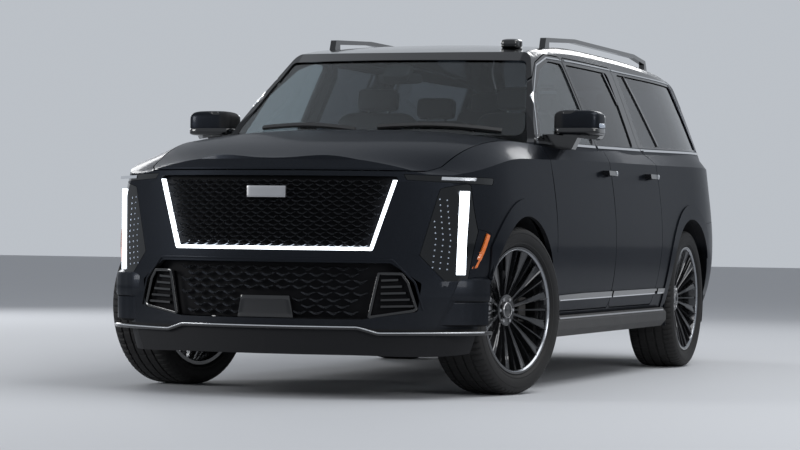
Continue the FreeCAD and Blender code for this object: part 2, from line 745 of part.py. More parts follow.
HOOD_CUT = hood_region(0)
GRILLE_CUT = facing(GRILLE_SHARES, NOSE_START, NOSE_END, 0, LAMP_RADIUS)
LAMP_CUT = facing_pair(LAMP_SHARES, NOSE_START, NOSE_END, 0, LAMP_RADIUS)
SLIM_CUT = facing_pair(SLIM_LAMP_SHARES, along(0.40), NOSE_END, 0, 0)
INTAKE_CUT = facing(INTAKE_SHARES, NOSE_START, NOSE_END, 0, LAMP_RADIUS)
BUMPER_CUT = seen_from_side(FENDER_EDGE_SHARES, NOSE_END)
GATE_CUT = facing(GATE_SHARES, TAIL_END, TAIL_START, 0, LAMP_RADIUS)
TAIL_LAMP_CUT = facing_pair(TAIL_LAMP_SHARES, TAIL_END, along(-1.72), 0, 0)
REAR_BUMPER_CUT = seen_from_side(BUMPER_EDGE_SHARES, TAIL_END)
FRONT_ARCH = arch_prism(FRONT_AXLE, size("arch_radius"))
REAR_ARCH = arch_prism(REAR_AXLE, size("rear_arch_radius"))
ARCHES = FRONT_ARCH.fuse(mirrored(FRONT_ARCH)).fuse(REAR_ARCH).fuse(mirrored(REAR_ARCH))


def parted(shape, *others):
    """A shape less its neighbours."""
    return shape.cut(list(others))


def whole(left):
    """A piece that crosses the centre line, from its left half."""
    return left.fuse(mirrored(left)).removeSplitter()


HOOD_GAP = hood_region(size("hood_gap"))
GRILLE_GAP = facing(GRILLE_SHARES, NOSE_START, NOSE_END, PIECE_GAP, LAMP_RADIUS)
LAMP_GAP = facing_pair(LAMP_SHARES, NOSE_START, NOSE_END, PIECE_GAP, LAMP_RADIUS)
SLIM_GAP = facing_pair(SLIM_LAMP_SHARES, along(0.40) - PIECE_GAP, NOSE_END, PIECE_GAP, 0)
INTAKE_GAP = facing(INTAKE_SHARES, NOSE_START, NOSE_END, PIECE_GAP, LAMP_RADIUS)
BUMPER_GAP = seen_from_side(FENDER_EDGE_SHARES, NOSE_END, PIECE_GAP)
GATE_GAP = facing(GATE_SHARES, TAIL_END, TAIL_START + GAP, GAP, LAMP_RADIUS)
TAIL_LAMP_GAP = facing_pair(TAIL_LAMP_SHARES, TAIL_END, along(-1.72) + PIECE_GAP, PIECE_GAP, 0)
REAR_BUMPER_GAP = seen_from_side(BUMPER_EDGE_SHARES, TAIL_END, PIECE_GAP)


def wheel_drum(axle_x, inner_y, outer_y):
    """A wheel housing's curved wall over the tyre, open at both ends."""
    outer = size("tyre_radius") + size("liner_gap")
    centre = Vector(axle_x, inner_y, size("tyre_radius"))
    drum = Part.makeCylinder(outer + size("liner_wall"), outer_y - inner_y, centre, Vector(0, 1, 0))
    hollow = Part.makeCylinder(outer, outer_y - inner_y, centre, Vector(0, 1, 0))
    return drum.cut(hollow).common(block(-REACH, REACH, 0, REACH, size("sill_height"), REACH))


WHEELHOUSE_Y = RIM_Y - size("tyre_width") / 2 - size("liner_gap") / 2


def cargo_wheelhouse():
    """The left rear wheel's housing, closed towards the cabin above the floor."""
    drum = wheel_drum(REAR_AXLE, WHEELHOUSE_Y, HALF_WIDTH - size("fender_wall") * 3)
    radius = size("tyre_radius") + size("liner_gap") + size("liner_wall")
    end = Part.makeCylinder(radius, size("liner_wall"), Vector(REAR_AXLE, WHEELHOUSE_Y, size("tyre_radius")),
                            Vector(0, 1, 0))
    return drum.fuse(end.common(block(-REACH, REACH, 0, REACH, size("floor_height"), REACH)))


def front_liner():
    """The left front wheel's liner, with room for the steered wheel, clear of the bumper and the door frame."""
    drum = wheel_drum(FRONT_AXLE, KINGPIN_Y - size("steer_room"), HALF_WIDTH - size("fender_wall") * 3)
    bumper_side = block(along(FENDER_EDGE_SHARES[0][0]) - PIECE_GAP, REACH, HALF_WIDTH - size("bumper_wall") * 5, REACH,
                        0, REACH)
    post = block(0, DOOR_FRONT + size("ring_lap") + PIECE_GAP, 0, REACH, 0, REACH)
    return drum.cut([bumper_side, post])


def flare(axle_x, radius, stock):
    """The raised lip round a left wheel arch, standing a little proud of the skin."""
    ring = arch_prism(axle_x, radius + size("flare_width")).cut(arch_prism(axle_x, radius))
    return stock.common(ring)


FLARE_STOCK = body_loft(-size("flare_proud"), 0).common(LEFT)
FLARE_SHELL = FLARE_STOCK.cut(SKIN_INNER)
FRONT_FLARE = flare(FRONT_AXLE, size("arch_radius"), FLARE_SHELL).common(FRONT_BLOCK)
REAR_FLARE = flare(REAR_AXLE, size("rear_arch_radius"), FLARE_SHELL)
DOOR_GAPS = [side_prism(DOOR_OUTLINES[which], GAP / 2, CORNER_RADIUS) for which in ("front", "rear")]
COWL_BAND = block(along(COWL_SHARES[0]), FRONT_AXLE, -REACH, REACH, 0, up(COWL_SHARES[2]))

panel("hood", whole(largest(SKIN.common(HOOD_CUT))))

bumper = largest(parted(NOSE_SHELL.common(BUMPER_CUT), HOOD_GAP, GRILLE_GAP, LAMP_GAP, SLIM_GAP, INTAKE_GAP, FRONT_ARCH))
panel("front_bumper", whole(bumper))
lamps = Part.makeCompound([NOSE_SHELL.common(LAMP_CUT), NOSE_SHELL.common(SLIM_CUT).cut(HOOD_GAP)])
panel("headlamps", both_sides(lamps))

COWL_START = DOOR_FRONT + size("cowl_edge")
cowl_band = block(COWL_START, along(-0.05), 0, HALF_WIDTH * COWL_WIDTH_SHARE, up(0.85), REACH)
cowl_gap = block(COWL_START - PIECE_GAP, along(-0.05), 0, HALF_WIDTH * COWL_WIDTH_SHARE + PIECE_GAP, up(0.85), REACH)
panel("cowl_panel", whole(largest(parted(SKIN.common(cowl_band), HOOD_GAP, CABIN_OUTER))))
fender = parted(SKIN.fuse(FRONT_FLARE), HOOD_GAP, BUMPER_GAP, LAMP_GAP, SLIM_GAP, FRONT_ARCH, CABIN_OUTER, cowl_gap)
fender = largest(fender.fuse(front_liner()).cut(hinge_relief("front")))
panel("front_fenders", both_sides(fender))

side = LOWER_WALL.fuse([UPPER_WALL, REAR_FLARE])
side = parted(side, DOOR_GAPS[0], DOOR_GAPS[1], window_prism("quarter"), REAR_ARCH, GATE_GAP, TAIL_LAMP_GAP,
              REAR_BUMPER_GAP, ROOF_BAND, WINDSHIELD_CUT, COWL_BAND)
side = largest(side.fuse([ring_shape(), cargo_wheelhouse()]))
panel("left_body_side", side)
panel("right_body_side", mirrored(side))

panel("roof_panel", whole(largest(parted(UPPER_WALL.common(ROOF_BAND), GATE_GAP, WINDSHIELD_CUT))))
TAIL_WALL = LOWER_WALL.common(TAIL_BLOCK).fuse(UPPER_WALL.common(TAIL_BLOCK))
GATE_GLASS_CUT = facing(GATE_GLASS_SHARES, TAIL_END, TAIL_START, 0, LAMP_RADIUS)
gate_edge = facing(GATE_SHARES, TAIL_END, TAIL_START, 0, LAMP_RADIUS).cut(
    facing(GATE_SHARES, TAIL_END, TAIL_START, -size("gate_relief"), LAMP_RADIUS))
gate_edge = gate_edge.common(block(-REACH, REACH, -REACH, REACH, 0, up(GATE_SHARES[3][1]))).cut(
    tail_cutter(size("gate_skin")))
panel("liftgate", whole(largest(TAIL_WALL.common(GATE_CUT).cut([GATE_GLASS_CUT, gate_edge]))))
panel("tail_lamps", both_sides(TAIL_WALL.common(TAIL_LAMP_CUT).cut(GATE_GAP)))
HOUSE_ARCH = arch_prism(REAR_AXLE, size("tyre_radius") + size("liner_gap") + size("liner_wall") + PIECE_GAP)
rear_bumper = largest(parted(TAIL_SHELL.common(REAR_BUMPER_CUT), GATE_GAP, TAIL_LAMP_GAP, HOUSE_ARCH))
panel("rear_bumper", whole(rear_bumper))
for which in ("front", "rear"):
    panel("left_%s_door" % which, LEFT_DOORS[which])
    panel("right_%s_door" % which, mirrored(LEFT_DOORS[which]))



# Glass: panes that follow the cabin's surface, a little inside it, each in its own opening
GLASS_OUTER = size("glass_inset")
GLASS_INNER = size("glass_inset") + size("glass_thickness")
SIDE_PANE = cabin_loft(GLASS_OUTER, GLASS_OUTER, FOOT).common(LEFT).cut(cabin_loft(GLASS_INNER, GLASS_INNER, FOOT))
for which in ("front", "rear"):
    pane = largest(SIDE_PANE.common(window_prism(which, -SEAT)))
    panel("left_%s_door_glass" % which, pane)
    panel("right_%s_door_glass" % which, mirrored(pane))
panel("quarter_glass", both_sides(largest(SIDE_PANE.common(window_prism("quarter", -SEAT)))))

SCREEN_PANE = windshield_cutter(GLASS_INNER).cut(windshield_cutter(GLASS_OUTER))
SCREEN_OUTLINE = facing(WINDSHIELD_SHARES, along(-0.42), FRONT_AXLE, -SEAT, WINDOW_CORNER_SHARE * GREENHOUSE)
panel("windshield", largest(SCREEN_PANE.common(SCREEN_OUTLINE)))
REAR_PANE = cabin_loft(0, 0, FOOT).common(tail_cutter(GLASS_INNER)).cut(tail_cutter(GLASS_OUTER))
panel("liftgate_glass", largest(REAR_PANE.common(facing(GATE_GLASS_SHARES, TAIL_END, TAIL_START, -SEAT, LAMP_RADIUS))))


# Grille: bars that follow the nose's plan curve, crossed by upright ribs, in a trapezoid frame
NOSE_CENTRE = HALF_LENGTH - size("nose_radius") - size("nose_setback")


def nose_band(inset, depth, low, high):
    """A ring slice of the nose's plan curve between two heights."""
    reach = size("nose_radius") - inset
    points = [(reach - depth, low), (reach, low), (reach, high), (reach - depth, high)]
    return spun(points, NOSE_CENTRE)


def bar_grid(shares, rows, columns, inset, depth, bar, rib):
    """Curved bars and radial ribs that fill a mirrored front-view outline."""
    window = facing(shares, NOSE_START, NOSE_END, -SEAT, LAMP_RADIUS)
    heights = [up(z) for _, z in shares]
    low, high = min(heights), max(heights)
    rim = window.cut(facing(shares, NOSE_START, NOSE_END, -SEAT - bar, LAMP_RADIUS))
    pieces = [nose_band(inset, depth, low, high).common(rim)]
    pitch = (high - low) / rows
    for row in range(1, rows):
        middle = low + row * pitch
        pieces.append(nose_band(inset, depth, middle - bar / 2, middle + bar / 2).common(window))
    reach = max(y for y, _ in shares) * HALF_WIDTH
    ribs = []
    for column in range(1, columns):
        y = -reach + 2 * reach * column / columns
        ribs.append(block(NOSE_START, NOSE_END, y - rib / 2, y + rib / 2, low, high))
    slab = nose_band(inset + bar / 4, depth - bar / 2, low, high).common(window)
    pieces.append(slab.common(Part.makeCompound(ribs)))
    return pieces[0].fuse(pieces[1:])


upper_grille = bar_grid(GRILLE_BAR_SHARES, 9, 10, size("grille_inset"), size("grille_depth"), size("grille_bar"),
                        size("grille_rib"))
lower_grille = bar_grid(INTAKE_SHARES, 5, 8, size("grille_inset"), size("grille_depth"), size("grille_bar"),
                        size("grille_rib"))
panel("grilles", Part.makeCompound([upper_grille, lower_grille]))
light_cut = facing(GRILLE_SHARES, NOSE_START, NOSE_END, -SEAT, LAMP_RADIUS)
light_hole = facing(GRILLE_SHARES, NOSE_START, NOSE_END, -size("light_width"), LAMP_RADIUS)
light_low = block(NOSE_START, NOSE_END, -REACH, REACH, 0, up(0.83))
light = nose_band(SEAT, size("light_depth"), up(0.5), up(0.9)).common(light_cut).cut(light_hole).common(light_low)
panel("grille_light_bar", largest(light))
panel("front_splitter", largest(
    spun([(0, up(0.245)), (size("nose_radius") + size("nose_setback") - SEAT, up(0.26)),
          (size("nose_radius") + size("nose_setback") - SEAT, up(0.275)), (0, up(0.275))], NOSE_CENTRE).common(
        block(along(0.50), NOSE_END, -REACH, REACH, 0, REACH)).cut(OUTER_LOFT.cut(NOSE_CUT))))



# Side trim, roof rails and mirrors
TRIM_START = FRONT_AXLE - size("arch_radius") - size("flare_width")
TRIM_END = REAR_AXLE + size("rear_arch_radius") + size("flare_width")


def sill_trim():
    """The left lower moulding under the doors, seated on the sill."""
    low = size("sill_height") + PIECE_GAP
    high = low + size("sill_trim_height")
    inner = HALF_WIDTH * SIDE_SHARES[0][0] - size("sill_trim_width")
    outer = HALF_WIDTH - size("shut_gap") * 2
    points = [(inner, low), (outer - size("sill_trim_width") / 2, low), (outer, low + size("sill_trim_height") / 3),
              (outer, high - size("sill_trim_height") / 4), (outer - size("sill_trim_width") / 3, high),
              (inner, high)]
    bar = prism("YZ", points, TRIM_END, TRIM_START, size("sill_trim_width") / 8)
    return largest(bar.cut(OUTER_LOFT))


panel("side_sills", both_sides(sill_trim()))

RAIL_Y = ROOF_HALF_WIDTH - size("rail_width")
RAIL_SHARES = [(-0.440, 1.85), (-0.452, 2.02), (-0.62, 2.07), (-1.02, 2.07), (-1.22, 2.03), (-1.27, 1.85)]


def roof_rail():
    """The left roof rail: a long bar on two feet that meet the roof's skin."""
    points = [(along(place), up(height)) for place, height in RAIL_SHARES]
    stand = size("rail_stand")
    middle = [(along(-0.47), up(1.85)), (along(-0.47), up(2.02) - size("rail_height")),
              (along(-0.62), up(2.07) - size("rail_height")), (along(-1.02), up(2.07) - size("rail_height")),
              (along(-1.20), up(2.03) - size("rail_height")), (along(-1.20), up(1.85))]
    bar = prism("XZ", points, RAIL_Y, RAIL_Y + size("rail_width"), stand / 4)
    bar = bar.cut(prism("XZ", middle, RAIL_Y, RAIL_Y + size("rail_width"), stand / 8))
    return bar.cut(CABIN_OUTER)


rail = roof_rail()
panel("roof_rails", both_sides(Part.makeCompound([largest(rail)])))


MIRROR_FACE_SHARES = [(0, 0.12), (0, 0.86), (0.16, 1), (0.86, 0.95), (1, 0.78), (0.97, 0.2), (0.85, 0)]
MIRROR_PLAN_SHARES = [(0, 0), (0, 1), (0.35, 1), (0.85, 0.62), (1, 0.3), (1, 0)]
MIRROR_ARM_SHARES = [(-0.75, -0.42), (0.30, -0.36), (0.52, 0.22), (-0.75, 0.16)]


def mirror_shape():
    """The left outside mirror: a housing that is blunt behind and round ahead, on an arm from the door's corner."""
    x_low = DOOR_FRONT - size("mirror_place") - size("mirror_depth")
    y_low = HALF_WIDTH - size("mirror_inboard")
    z_low = up(1.06)
    depth, width, height = size("mirror_depth"), size("mirror_width"), size("mirror_height")
    face = [(y_low + y * width, z_low + z * height) for y, z in MIRROR_FACE_SHARES]
    plan = [(x_low + x * depth, y_low + y * width) for x, y in MIRROR_PLAN_SHARES]
    arm = [(y_low + y * width, z_low + z * height) for y, z in MIRROR_ARM_SHARES]
    housing = prism("YZ", face, x_low, x_low + depth, height / 5)
    housing = housing.common(prism("XY", plan, z_low, z_low + height, depth / 4))
    arm = prism("YZ", arm, x_low + depth / 2, x_low + depth * 0.9, height / 12)
    return largest(housing.fuse(arm).cut([CABIN_OUTER, OUTER_LOFT]))


mirror = mirror_shape()
panel("left_mirror", mirror)
panel("right_mirror", mirrored(mirror))


# Floor, firewall, dashboard and seats
def inside(x_low, x_high, z_low, z_high):
    """The left half of the cabin's hollow between two places and two heights."""
    return WALL_INNER.common(block(x_low, x_high, 0, REACH, z_low, z_high)).cut(side)


FLOOR = size("floor_height")
FLOOR_TOP = FLOOR + size("floor_thickness")
CARGO_TOP = size("cargo_floor") + size("floor_thickness")
FIREWALL = DOOR_FRONT - size("door_wall") / 4
RISER = DOOR_REAR - size("door_wall") * 2
floor = inside(RISER, FIREWALL, FLOOR, FLOOR_TOP).fuse([
    inside(RISER - size("floor_thickness"), RISER, FLOOR, CARGO_TOP),
    inside(-HALF_LENGTH + size("gate_depth"), RISER, size("cargo_floor"), CARGO_TOP),
    inside(FIREWALL - size("floor_thickness"), FIREWALL, FLOOR, up(0.93))])
door_zone = block(DOOR_REAR - GAP, DOOR_FRONT, 0, REACH, 0, REACH)
door_room = door_zone.cut(body_loft(size("door_wall") + size("ring_gap"), OPEN_TOP))
floor = largest(floor.cut([door_room, inner_sweep("front"), inner_sweep("rear")]))
panel("floor_pan", floor.fuse(mirrored(floor)))

DASH_SHARES = [(0, 0.62), (0, 0.925), (0.5, 0.955), (0.95, 0.88), (1.0, 0.78), (0.75, 0.64)]
dash_x = FIREWALL - size("floor_thickness")
dash_half = HALF_WIDTH - size("door_wall") - size("dash_inset")
dash = prism("XZ", [(dash_x - share * size("dash_depth"), up(height)) for share, height in DASH_SHARES],
             -dash_half, dash_half, size("lamp_corner"))
console = block(dash_x - size("console_length"), dash_x - size("dash_depth") / 2, -size("console_width") / 2,
                size("console_width") / 2, FLOOR_TOP, FLOOR_TOP + size("console_width") * 1.3)
wheel_hub = Vector(FRONT_AXLE - size("wheel_place"), size("seat_side"), size("wheel_height"))
column_axis = Vector(math.cos(math.radians(size("column_angle"))), 0, -math.sin(math.radians(size("column_angle"))))
column_top = wheel_hub + column_axis * (size("steering_grip") + SEAT)
column = rod(column_top + column_axis * size("dash_depth") * 0.6, column_top, size("steering_grip") * 2)
panel("dashboard", dash.fuse([console, column]).removeSplitter())

SEAT_SHARES = [(0.12, 0), (0.62, 0), (0.68, 0.15), (0.86, 0.18), (1.0, 0.83), (0.99, 1.0), (0.87, 0.99),
               (0.86, 0.86), (0.68, 0.31), (0.0, 0.33), (0.0, 0.20), (0.12, 0.15)]


def seat(place, floor_z, y_low, y_high):
    """One seat or bench from its side profile: base, cushion, raked back and head restraint."""
    x = FRONT_AXLE - place
    stand = size("seat_stand") - (floor_z - FLOOR_TOP) * 0.6
    points = [(x - share * size("seat_length"), floor_z + height * stand) for share, height in SEAT_SHARES]
    return prism("XZ", points, y_low, y_high, size("lamp_corner") * 2)


seat_low = size("seat_side") - size("seat_width") / 2
seat_high = size("seat_side") + size("seat_width") / 2
panel("front_seats", both_sides(seat(size("front_seat_place"), FLOOR_TOP, seat_low, seat_high)))
panel("second_row_seats", both_sides(seat(size("second_seat_place"), FLOOR_TOP, seat_low, seat_high)))
bench_half = size("bench_width") / 2
panel("third_row_bench", seat(size("third_seat_place"), CARGO_TOP, -bench_half, bench_half))

# Chassis
RAIL_SHARES_XZ = [(0.70, 0.335), (0.20, 0.335), (-0.20, 0.300), (-0.86, 0.300), (-0.93, 0.475), (-1.10, 0.475),
                  (-1.30, 0.420), (-1.85, 0.420)]
rail_low = size("frame_rail_y") - size("frame_rail_width") / 2
rail_high = size("frame_rail_y") + size("frame_rail_width") / 2
rail_height = size("frame_rail_height")
bottom_line = [(along(place), up(height)) for place, height in RAIL_SHARES_XZ]
top_line = [(x, z + rail_height) for x, z in reversed(bottom_line)]
frame_rail = prism("XZ", bottom_line + top_line, rail_low, rail_high)
AXLE_Z = size("tyre_radius")
ARM_LIFT = size("arm_lift")
bracket_half = size("arm_spread") + size("pivot_radius")
arm_bracket = block(FRONT_AXLE - bracket_half, FRONT_AXLE + bracket_half, rail_high - size("frame_rail_width") / 2,
                    rail_high, AXLE_Z - ARM_LIFT - size("joint_height"), AXLE_Z + ARM_LIFT + size("joint_height"))
tower = block(FRONT_AXLE - size("frame_rail_width"), FRONT_AXLE + size("frame_rail_width"),
              rail_high - size("frame_rail_width") / 2, rail_high, AXLE_Z, size("tower_height"))
shelf = block(FRONT_AXLE - size("frame_rail_width"), FRONT_AXLE + size("frame_rail_width"),
              rail_high - size("frame_rail_width") / 2, size("tower_reach"),
              size("tower_height") - size("tower_shelf"), size("tower_height"))
frame_rail = frame_rail.fuse([arm_bracket, tower, shelf])
CROSS_SHARES = [(0.62, 0.345), (0.05, 0.32), (-0.30, 0.242), (-0.55, 0.242), (-0.76, 0.242), (-1.20, 0.43),
                (-1.85, 0.43)]
crosses = [block(along(place), along(place) + size("cross_depth"), -rail_low, rail_low, up(height),
                 up(height) + size("cross_depth")) for place, height in CROSS_SHARES]
BODY_MOUNT_SHARES = [-0.298, -0.562, -0.738]
body_mounts = [rod(Vector(along(place), side_y, up(RAIL_SHARES_XZ[2][1])), Vector(along(place), side_y, FLOOR - SEAT),
                   size("body_mount_radius"))
               for place in BODY_MOUNT_SHARES for side_y in (-size("frame_rail_y"), size("frame_rail_y"))]
chassis = frame_rail.fuse([mirrored(frame_rail)] + crosses + body_mounts).removeSplitter()
panel("chassis_frame", chassis)

engine_rear = along(-0.075)
engine = block(engine_rear, engine_rear + size("engine_length"), -size("engine_width") / 2, size("engine_width") / 2,
               size("engine_floor") + size("cross_depth"), size("engine_floor") + size("engine_height"))
mount = block(FRONT_AXLE, FRONT_AXLE + size("mount_length"), -rail_low + SEAT, rail_low - SEAT,
              size("engine_floor") + size("cross_depth"), size("engine_floor") + size("cross_depth") * 1.4)
panel("engine_block", engine.fuse(mount).removeSplitter())
radiator = block(along(0.62), along(0.62) + size("cross_depth") * 0.7, -rail_low, rail_low,
                 up(0.345) + size("cross_depth") + SEAT, up(0.80))
panel("radiator_pack", radiator)

DRIVE_Z = size("driveline_height")
gearbox_end = along(-0.25)
gearbox = rod(Vector(engine_rear - SEAT, 0, DRIVE_Z), Vector(gearbox_end, 0, DRIVE_Z), size("gearbox_radius"))
pinion = Vector(REAR_AXLE + size("diff_radius") + SEAT, 0, AXLE_Z + size("arm_radius"))
shaft = rod(Vector(gearbox_end + size("overrun"), 0, DRIVE_Z), pinion, size("shaft_radius"))
panel("driveline", gearbox.fuse(shaft).removeSplitter())


# Sketched, turned and primitive pieces, bound to the sheet
def number(expression):
    """What an expression in the sheet's names comes to."""
    return float(sheet.evalExpression(expression.replace("sizes.", "")))


def origin_item(body, role):
    """One of a body's own origin planes or axes."""
    return next(item for item in body.Origin.OriginFeatures if item.Role == role)


def closed_sketch(body, name, role, loops):
    """Closed line loops on an origin plane; each corner is a pair of expressions in the sheet's names."""
    sketch = body.newObject("Sketcher::SketchObject", name)
    sketch.AttachmentSupport = [(origin_item(body, role), "")]
    sketch.MapMode = "FlatFace"
    first = 0
    for corners in loops:
        places = [(number(u), number(v)) for u, v in corners]
        count = len(places)
        for i, place in enumerate(places):
            ahead = places[(i + 1) % count]
            sketch.addGeometry(Part.LineSegment(Vector(*place, 0), Vector(*ahead, 0)), False)
        for i in range(count):
            sketch.addConstraint(Sketcher.Constraint("Coincident", first + i, 2, first + (i + 1) % count, 1))
        for i, (place, pair) in enumerate(zip(places, corners)):
            for value, expression, kind, axis in ((place[0], pair[0], "DistanceX", -2),
                                                  (place[1], pair[1], "DistanceY", -1)):
                if abs(value) < SEAT / 1000:
                    sketch.addConstraint(Sketcher.Constraint("PointOnObject", first + i, 1, axis))
                else:
                    index = sketch.addConstraint(Sketcher.Constraint(kind, -1, 1, first + i, 1, value))
                    sketch.setExpression("Constraints[%d]" % index, expression)
        first += count
    return sketch


def turned(name, corners):
    """A body turned about its Y axis from corners of (place across, radius)."""
    body = doc.addObject("PartDesign::Body", name)
    body.Label = name
    sketch = closed_sketch(body, name + "_profile", "YZ_Plane", [corners])
    turn = body.newObject("PartDesign::Revolution", name + "_turn")
    turn.Profile = sketch
    turn.ReferenceAxis = (sketch, ["H_Axis"])
    turn.Angle = 360
    doc.recompute()
    return body


RIM_EDGE = "sizes.rim_width / 2"
RIM_WALL = "sizes.rim_wall"
DISH_FACE = "sizes.rim_width / 2 - sizes.hub_setback"
BRAKE_FACE = DISH_FACE + " - sizes.spoke_thickness - sizes.rim_wall"
BRAKE_BACK = BRAKE_FACE + " - sizes.disc_thickness"
SPOKES = 12
HALF_PITCH = "180 / %d" % SPOKES
WINDOW_LOW_SHARE = 0.965


def rim_body(name):
    """A wheel: barrel, dished disc with windows between wide and thin spokes, hub and brake disc."""
    inner = "sizes.rim_radius - 2 * sizes.rim_wall"
    body = turned(name, [
        ("-sizes.rim_width / 2", "sizes.rim_radius"),
        ("-sizes.rim_width / 2", inner),
        (RIM_EDGE + " - 2 * sizes.spoke_thickness", inner + " - sizes.rim_wall"),
        (DISH_FACE + " - sizes.spoke_thickness", "sizes.hub_radius"),
        (BRAKE_FACE, "sizes.hub_radius"),
        (BRAKE_FACE, "sizes.disc_radius"),
        (BRAKE_BACK, "sizes.disc_radius"),
        (BRAKE_BACK, "0"),
        (DISH_FACE, "0"),
        (DISH_FACE, "sizes.hub_radius"),
        (RIM_EDGE + " - sizes.rim_wall", inner),
        (RIM_EDGE, inner),
        (RIM_EDGE, "sizes.rim_radius"),
    ])
    right = [("sizes.thin_spoke_root / 2", "sizes.window_foot"),
             ("sizes.window_foot * tan(%s) - sizes.wide_spoke_root / 2" % HALF_PITCH, "sizes.window_foot"),
             ("sizes.window_top * tan(%s) - sizes.wide_spoke / 2" % HALF_PITCH,
              "sizes.window_top * %s" % WINDOW_LOW_SHARE),
             ("sizes.thin_spoke / 2", "sizes.window_top")]
    left = [("-(%s)" % u, v) for u, v in reversed(right)]
    windows = closed_sketch(body, name + "_windows", "XZ_Plane", [right, left])
    windows.AttachmentOffset = Placement(Vector(0, 0, -number(RIM_EDGE)), Rotation())
    windows.setExpression("AttachmentOffset.Base.z", "-sizes.rim_width / 2")
    pocket = body.newObject("PartDesign::Pocket", name + "_pocket")
    pocket.Profile = windows
    pocket.Length = number("sizes.hub_setback + sizes.spoke_thickness + sizes.rim_wall / 2")
    pocket.setExpression("Length", "sizes.hub_setback + sizes.spoke_thickness + sizes.rim_wall / 2")
    pocket.Reversed = True
    doc.recompute()
    solid_volume = body.Shape.Volume
    pattern = body.newObject("PartDesign::PolarPattern", name + "_spokes")
    pattern.Originals = [pocket]
    pattern.Axis = (origin_item(body, "Y_Axis"), [""])
    pattern.Angle = 360
    pattern.Occurrences = SPOKES
    body.Tip = pattern
    doc.recompute()
    print(name, "volume falls from", round(solid_volume), "to", round(body.Shape.Volume))
    return body




TYRE_SHARES = [(-0.43, 0.0), (-0.5, 0.45), (-0.465, 0.86), (-0.36, 1.0), (0.36, 1.0), (0.465, 0.86), (0.5, 0.45),
               (0.43, 0.0)]


def tyre_body(name):
    """A tyre's closed section turned about the wheel's axis, its bead on the rim."""
    bead = "sizes.rim_radius + sizes.seat_gap"
    depth = "(sizes.tyre_radius - sizes.rim_radius - sizes.seat_gap)"
    return turned(name, [("%s * sizes.tyre_width" % across, "%s + %s * %s" % (bead, out, depth))
                         for across, out in TYRE_SHARES])


UPRIGHT = Vector(0, 0, 1)
STEER = Rotation(UPRIGHT, size("steer_angle"))
WHEEL_SIDES = {"left": (1, 0), "right": (-1, 180)}
WHEEL_ENDS = {"front": FRONT_AXLE, "rear": REAR_AXLE}


def steered(sign):
    """The turn of a front wheel's carrier about its kingpin, as the car stands."""
    return Placement(Vector(0, 0, 0), STEER, Vector(FRONT_AXLE, sign * KINGPIN_Y, 0))


for end, axle_x in WHEEL_ENDS.items():
    for side_name, (sign, half_turn) in WHEEL_SIDES.items():
        place = Placement(Vector(axle_x, sign * RIM_Y, AXLE_Z), Rotation(UPRIGHT, half_turn))
        if end == "front":
            place = steered(sign) * place
        for piece in (rim_body("%s_%s_rim" % (side_name, end)), tyre_body("%s_%s_tyre" % (side_name, end))):
            piece.Placement = place
            node(piece)


def cylinder(name, start, axis, radius, length):
    """A round bar from a start point along an axis, its sizes bound to the sheet."""
    thing = doc.addObject("Part::Cylinder", name)
    thing.setExpression("Radius", radius)
    thing.setExpression("Height", length)
    thing.Placement = Placement(start, Rotation(UPRIGHT, axis))
    return thing


def link(name, start, end, radius):
    """A round bar between two points, its radius bound to the sheet."""
    thing = doc.addObject("Part::Cylinder", name)
    thing.setExpression("Radius", radius)
    thing.Height = (end - start).Length
    thing.Placement = Placement(start, Rotation(UPRIGHT, end - start))
    return thing


def ball(name, centre, radius):
    """A ball, its radius bound to the sheet."""
    thing = doc.addObject("Part::Sphere", name)
    thing.setExpression("Radius", radius)
    thing.Placement = Placement(centre, Rotation())
    return thing


def brick(name, corner, length, width, height):
    """A box from its low corner, its sizes bound to the sheet."""
    thing = doc.addObject("Part::Box", name)
    for key, expression in (("Length", length), ("Width", width), ("Height", height)):
        thing.setExpression(key, expression)
    thing.Placement = Placement(corner, Rotation())
    return thing


def fused(name, pieces):
    """Several touching pieces as one."""
    thing = doc.addObject("Part::MultiFuse", name)
    thing.Label = name
    thing.Shapes = pieces
    return thing


def grouped(name, pieces):
    """Several separate pieces in one node."""
    thing = doc.addObject("Part::Compound", name)
    thing.Label = name
    thing.Links = pieces
    return thing


BRAKE_Y = RIM_Y + number(BRAKE_BACK)
RUNNING = size("running_gap")


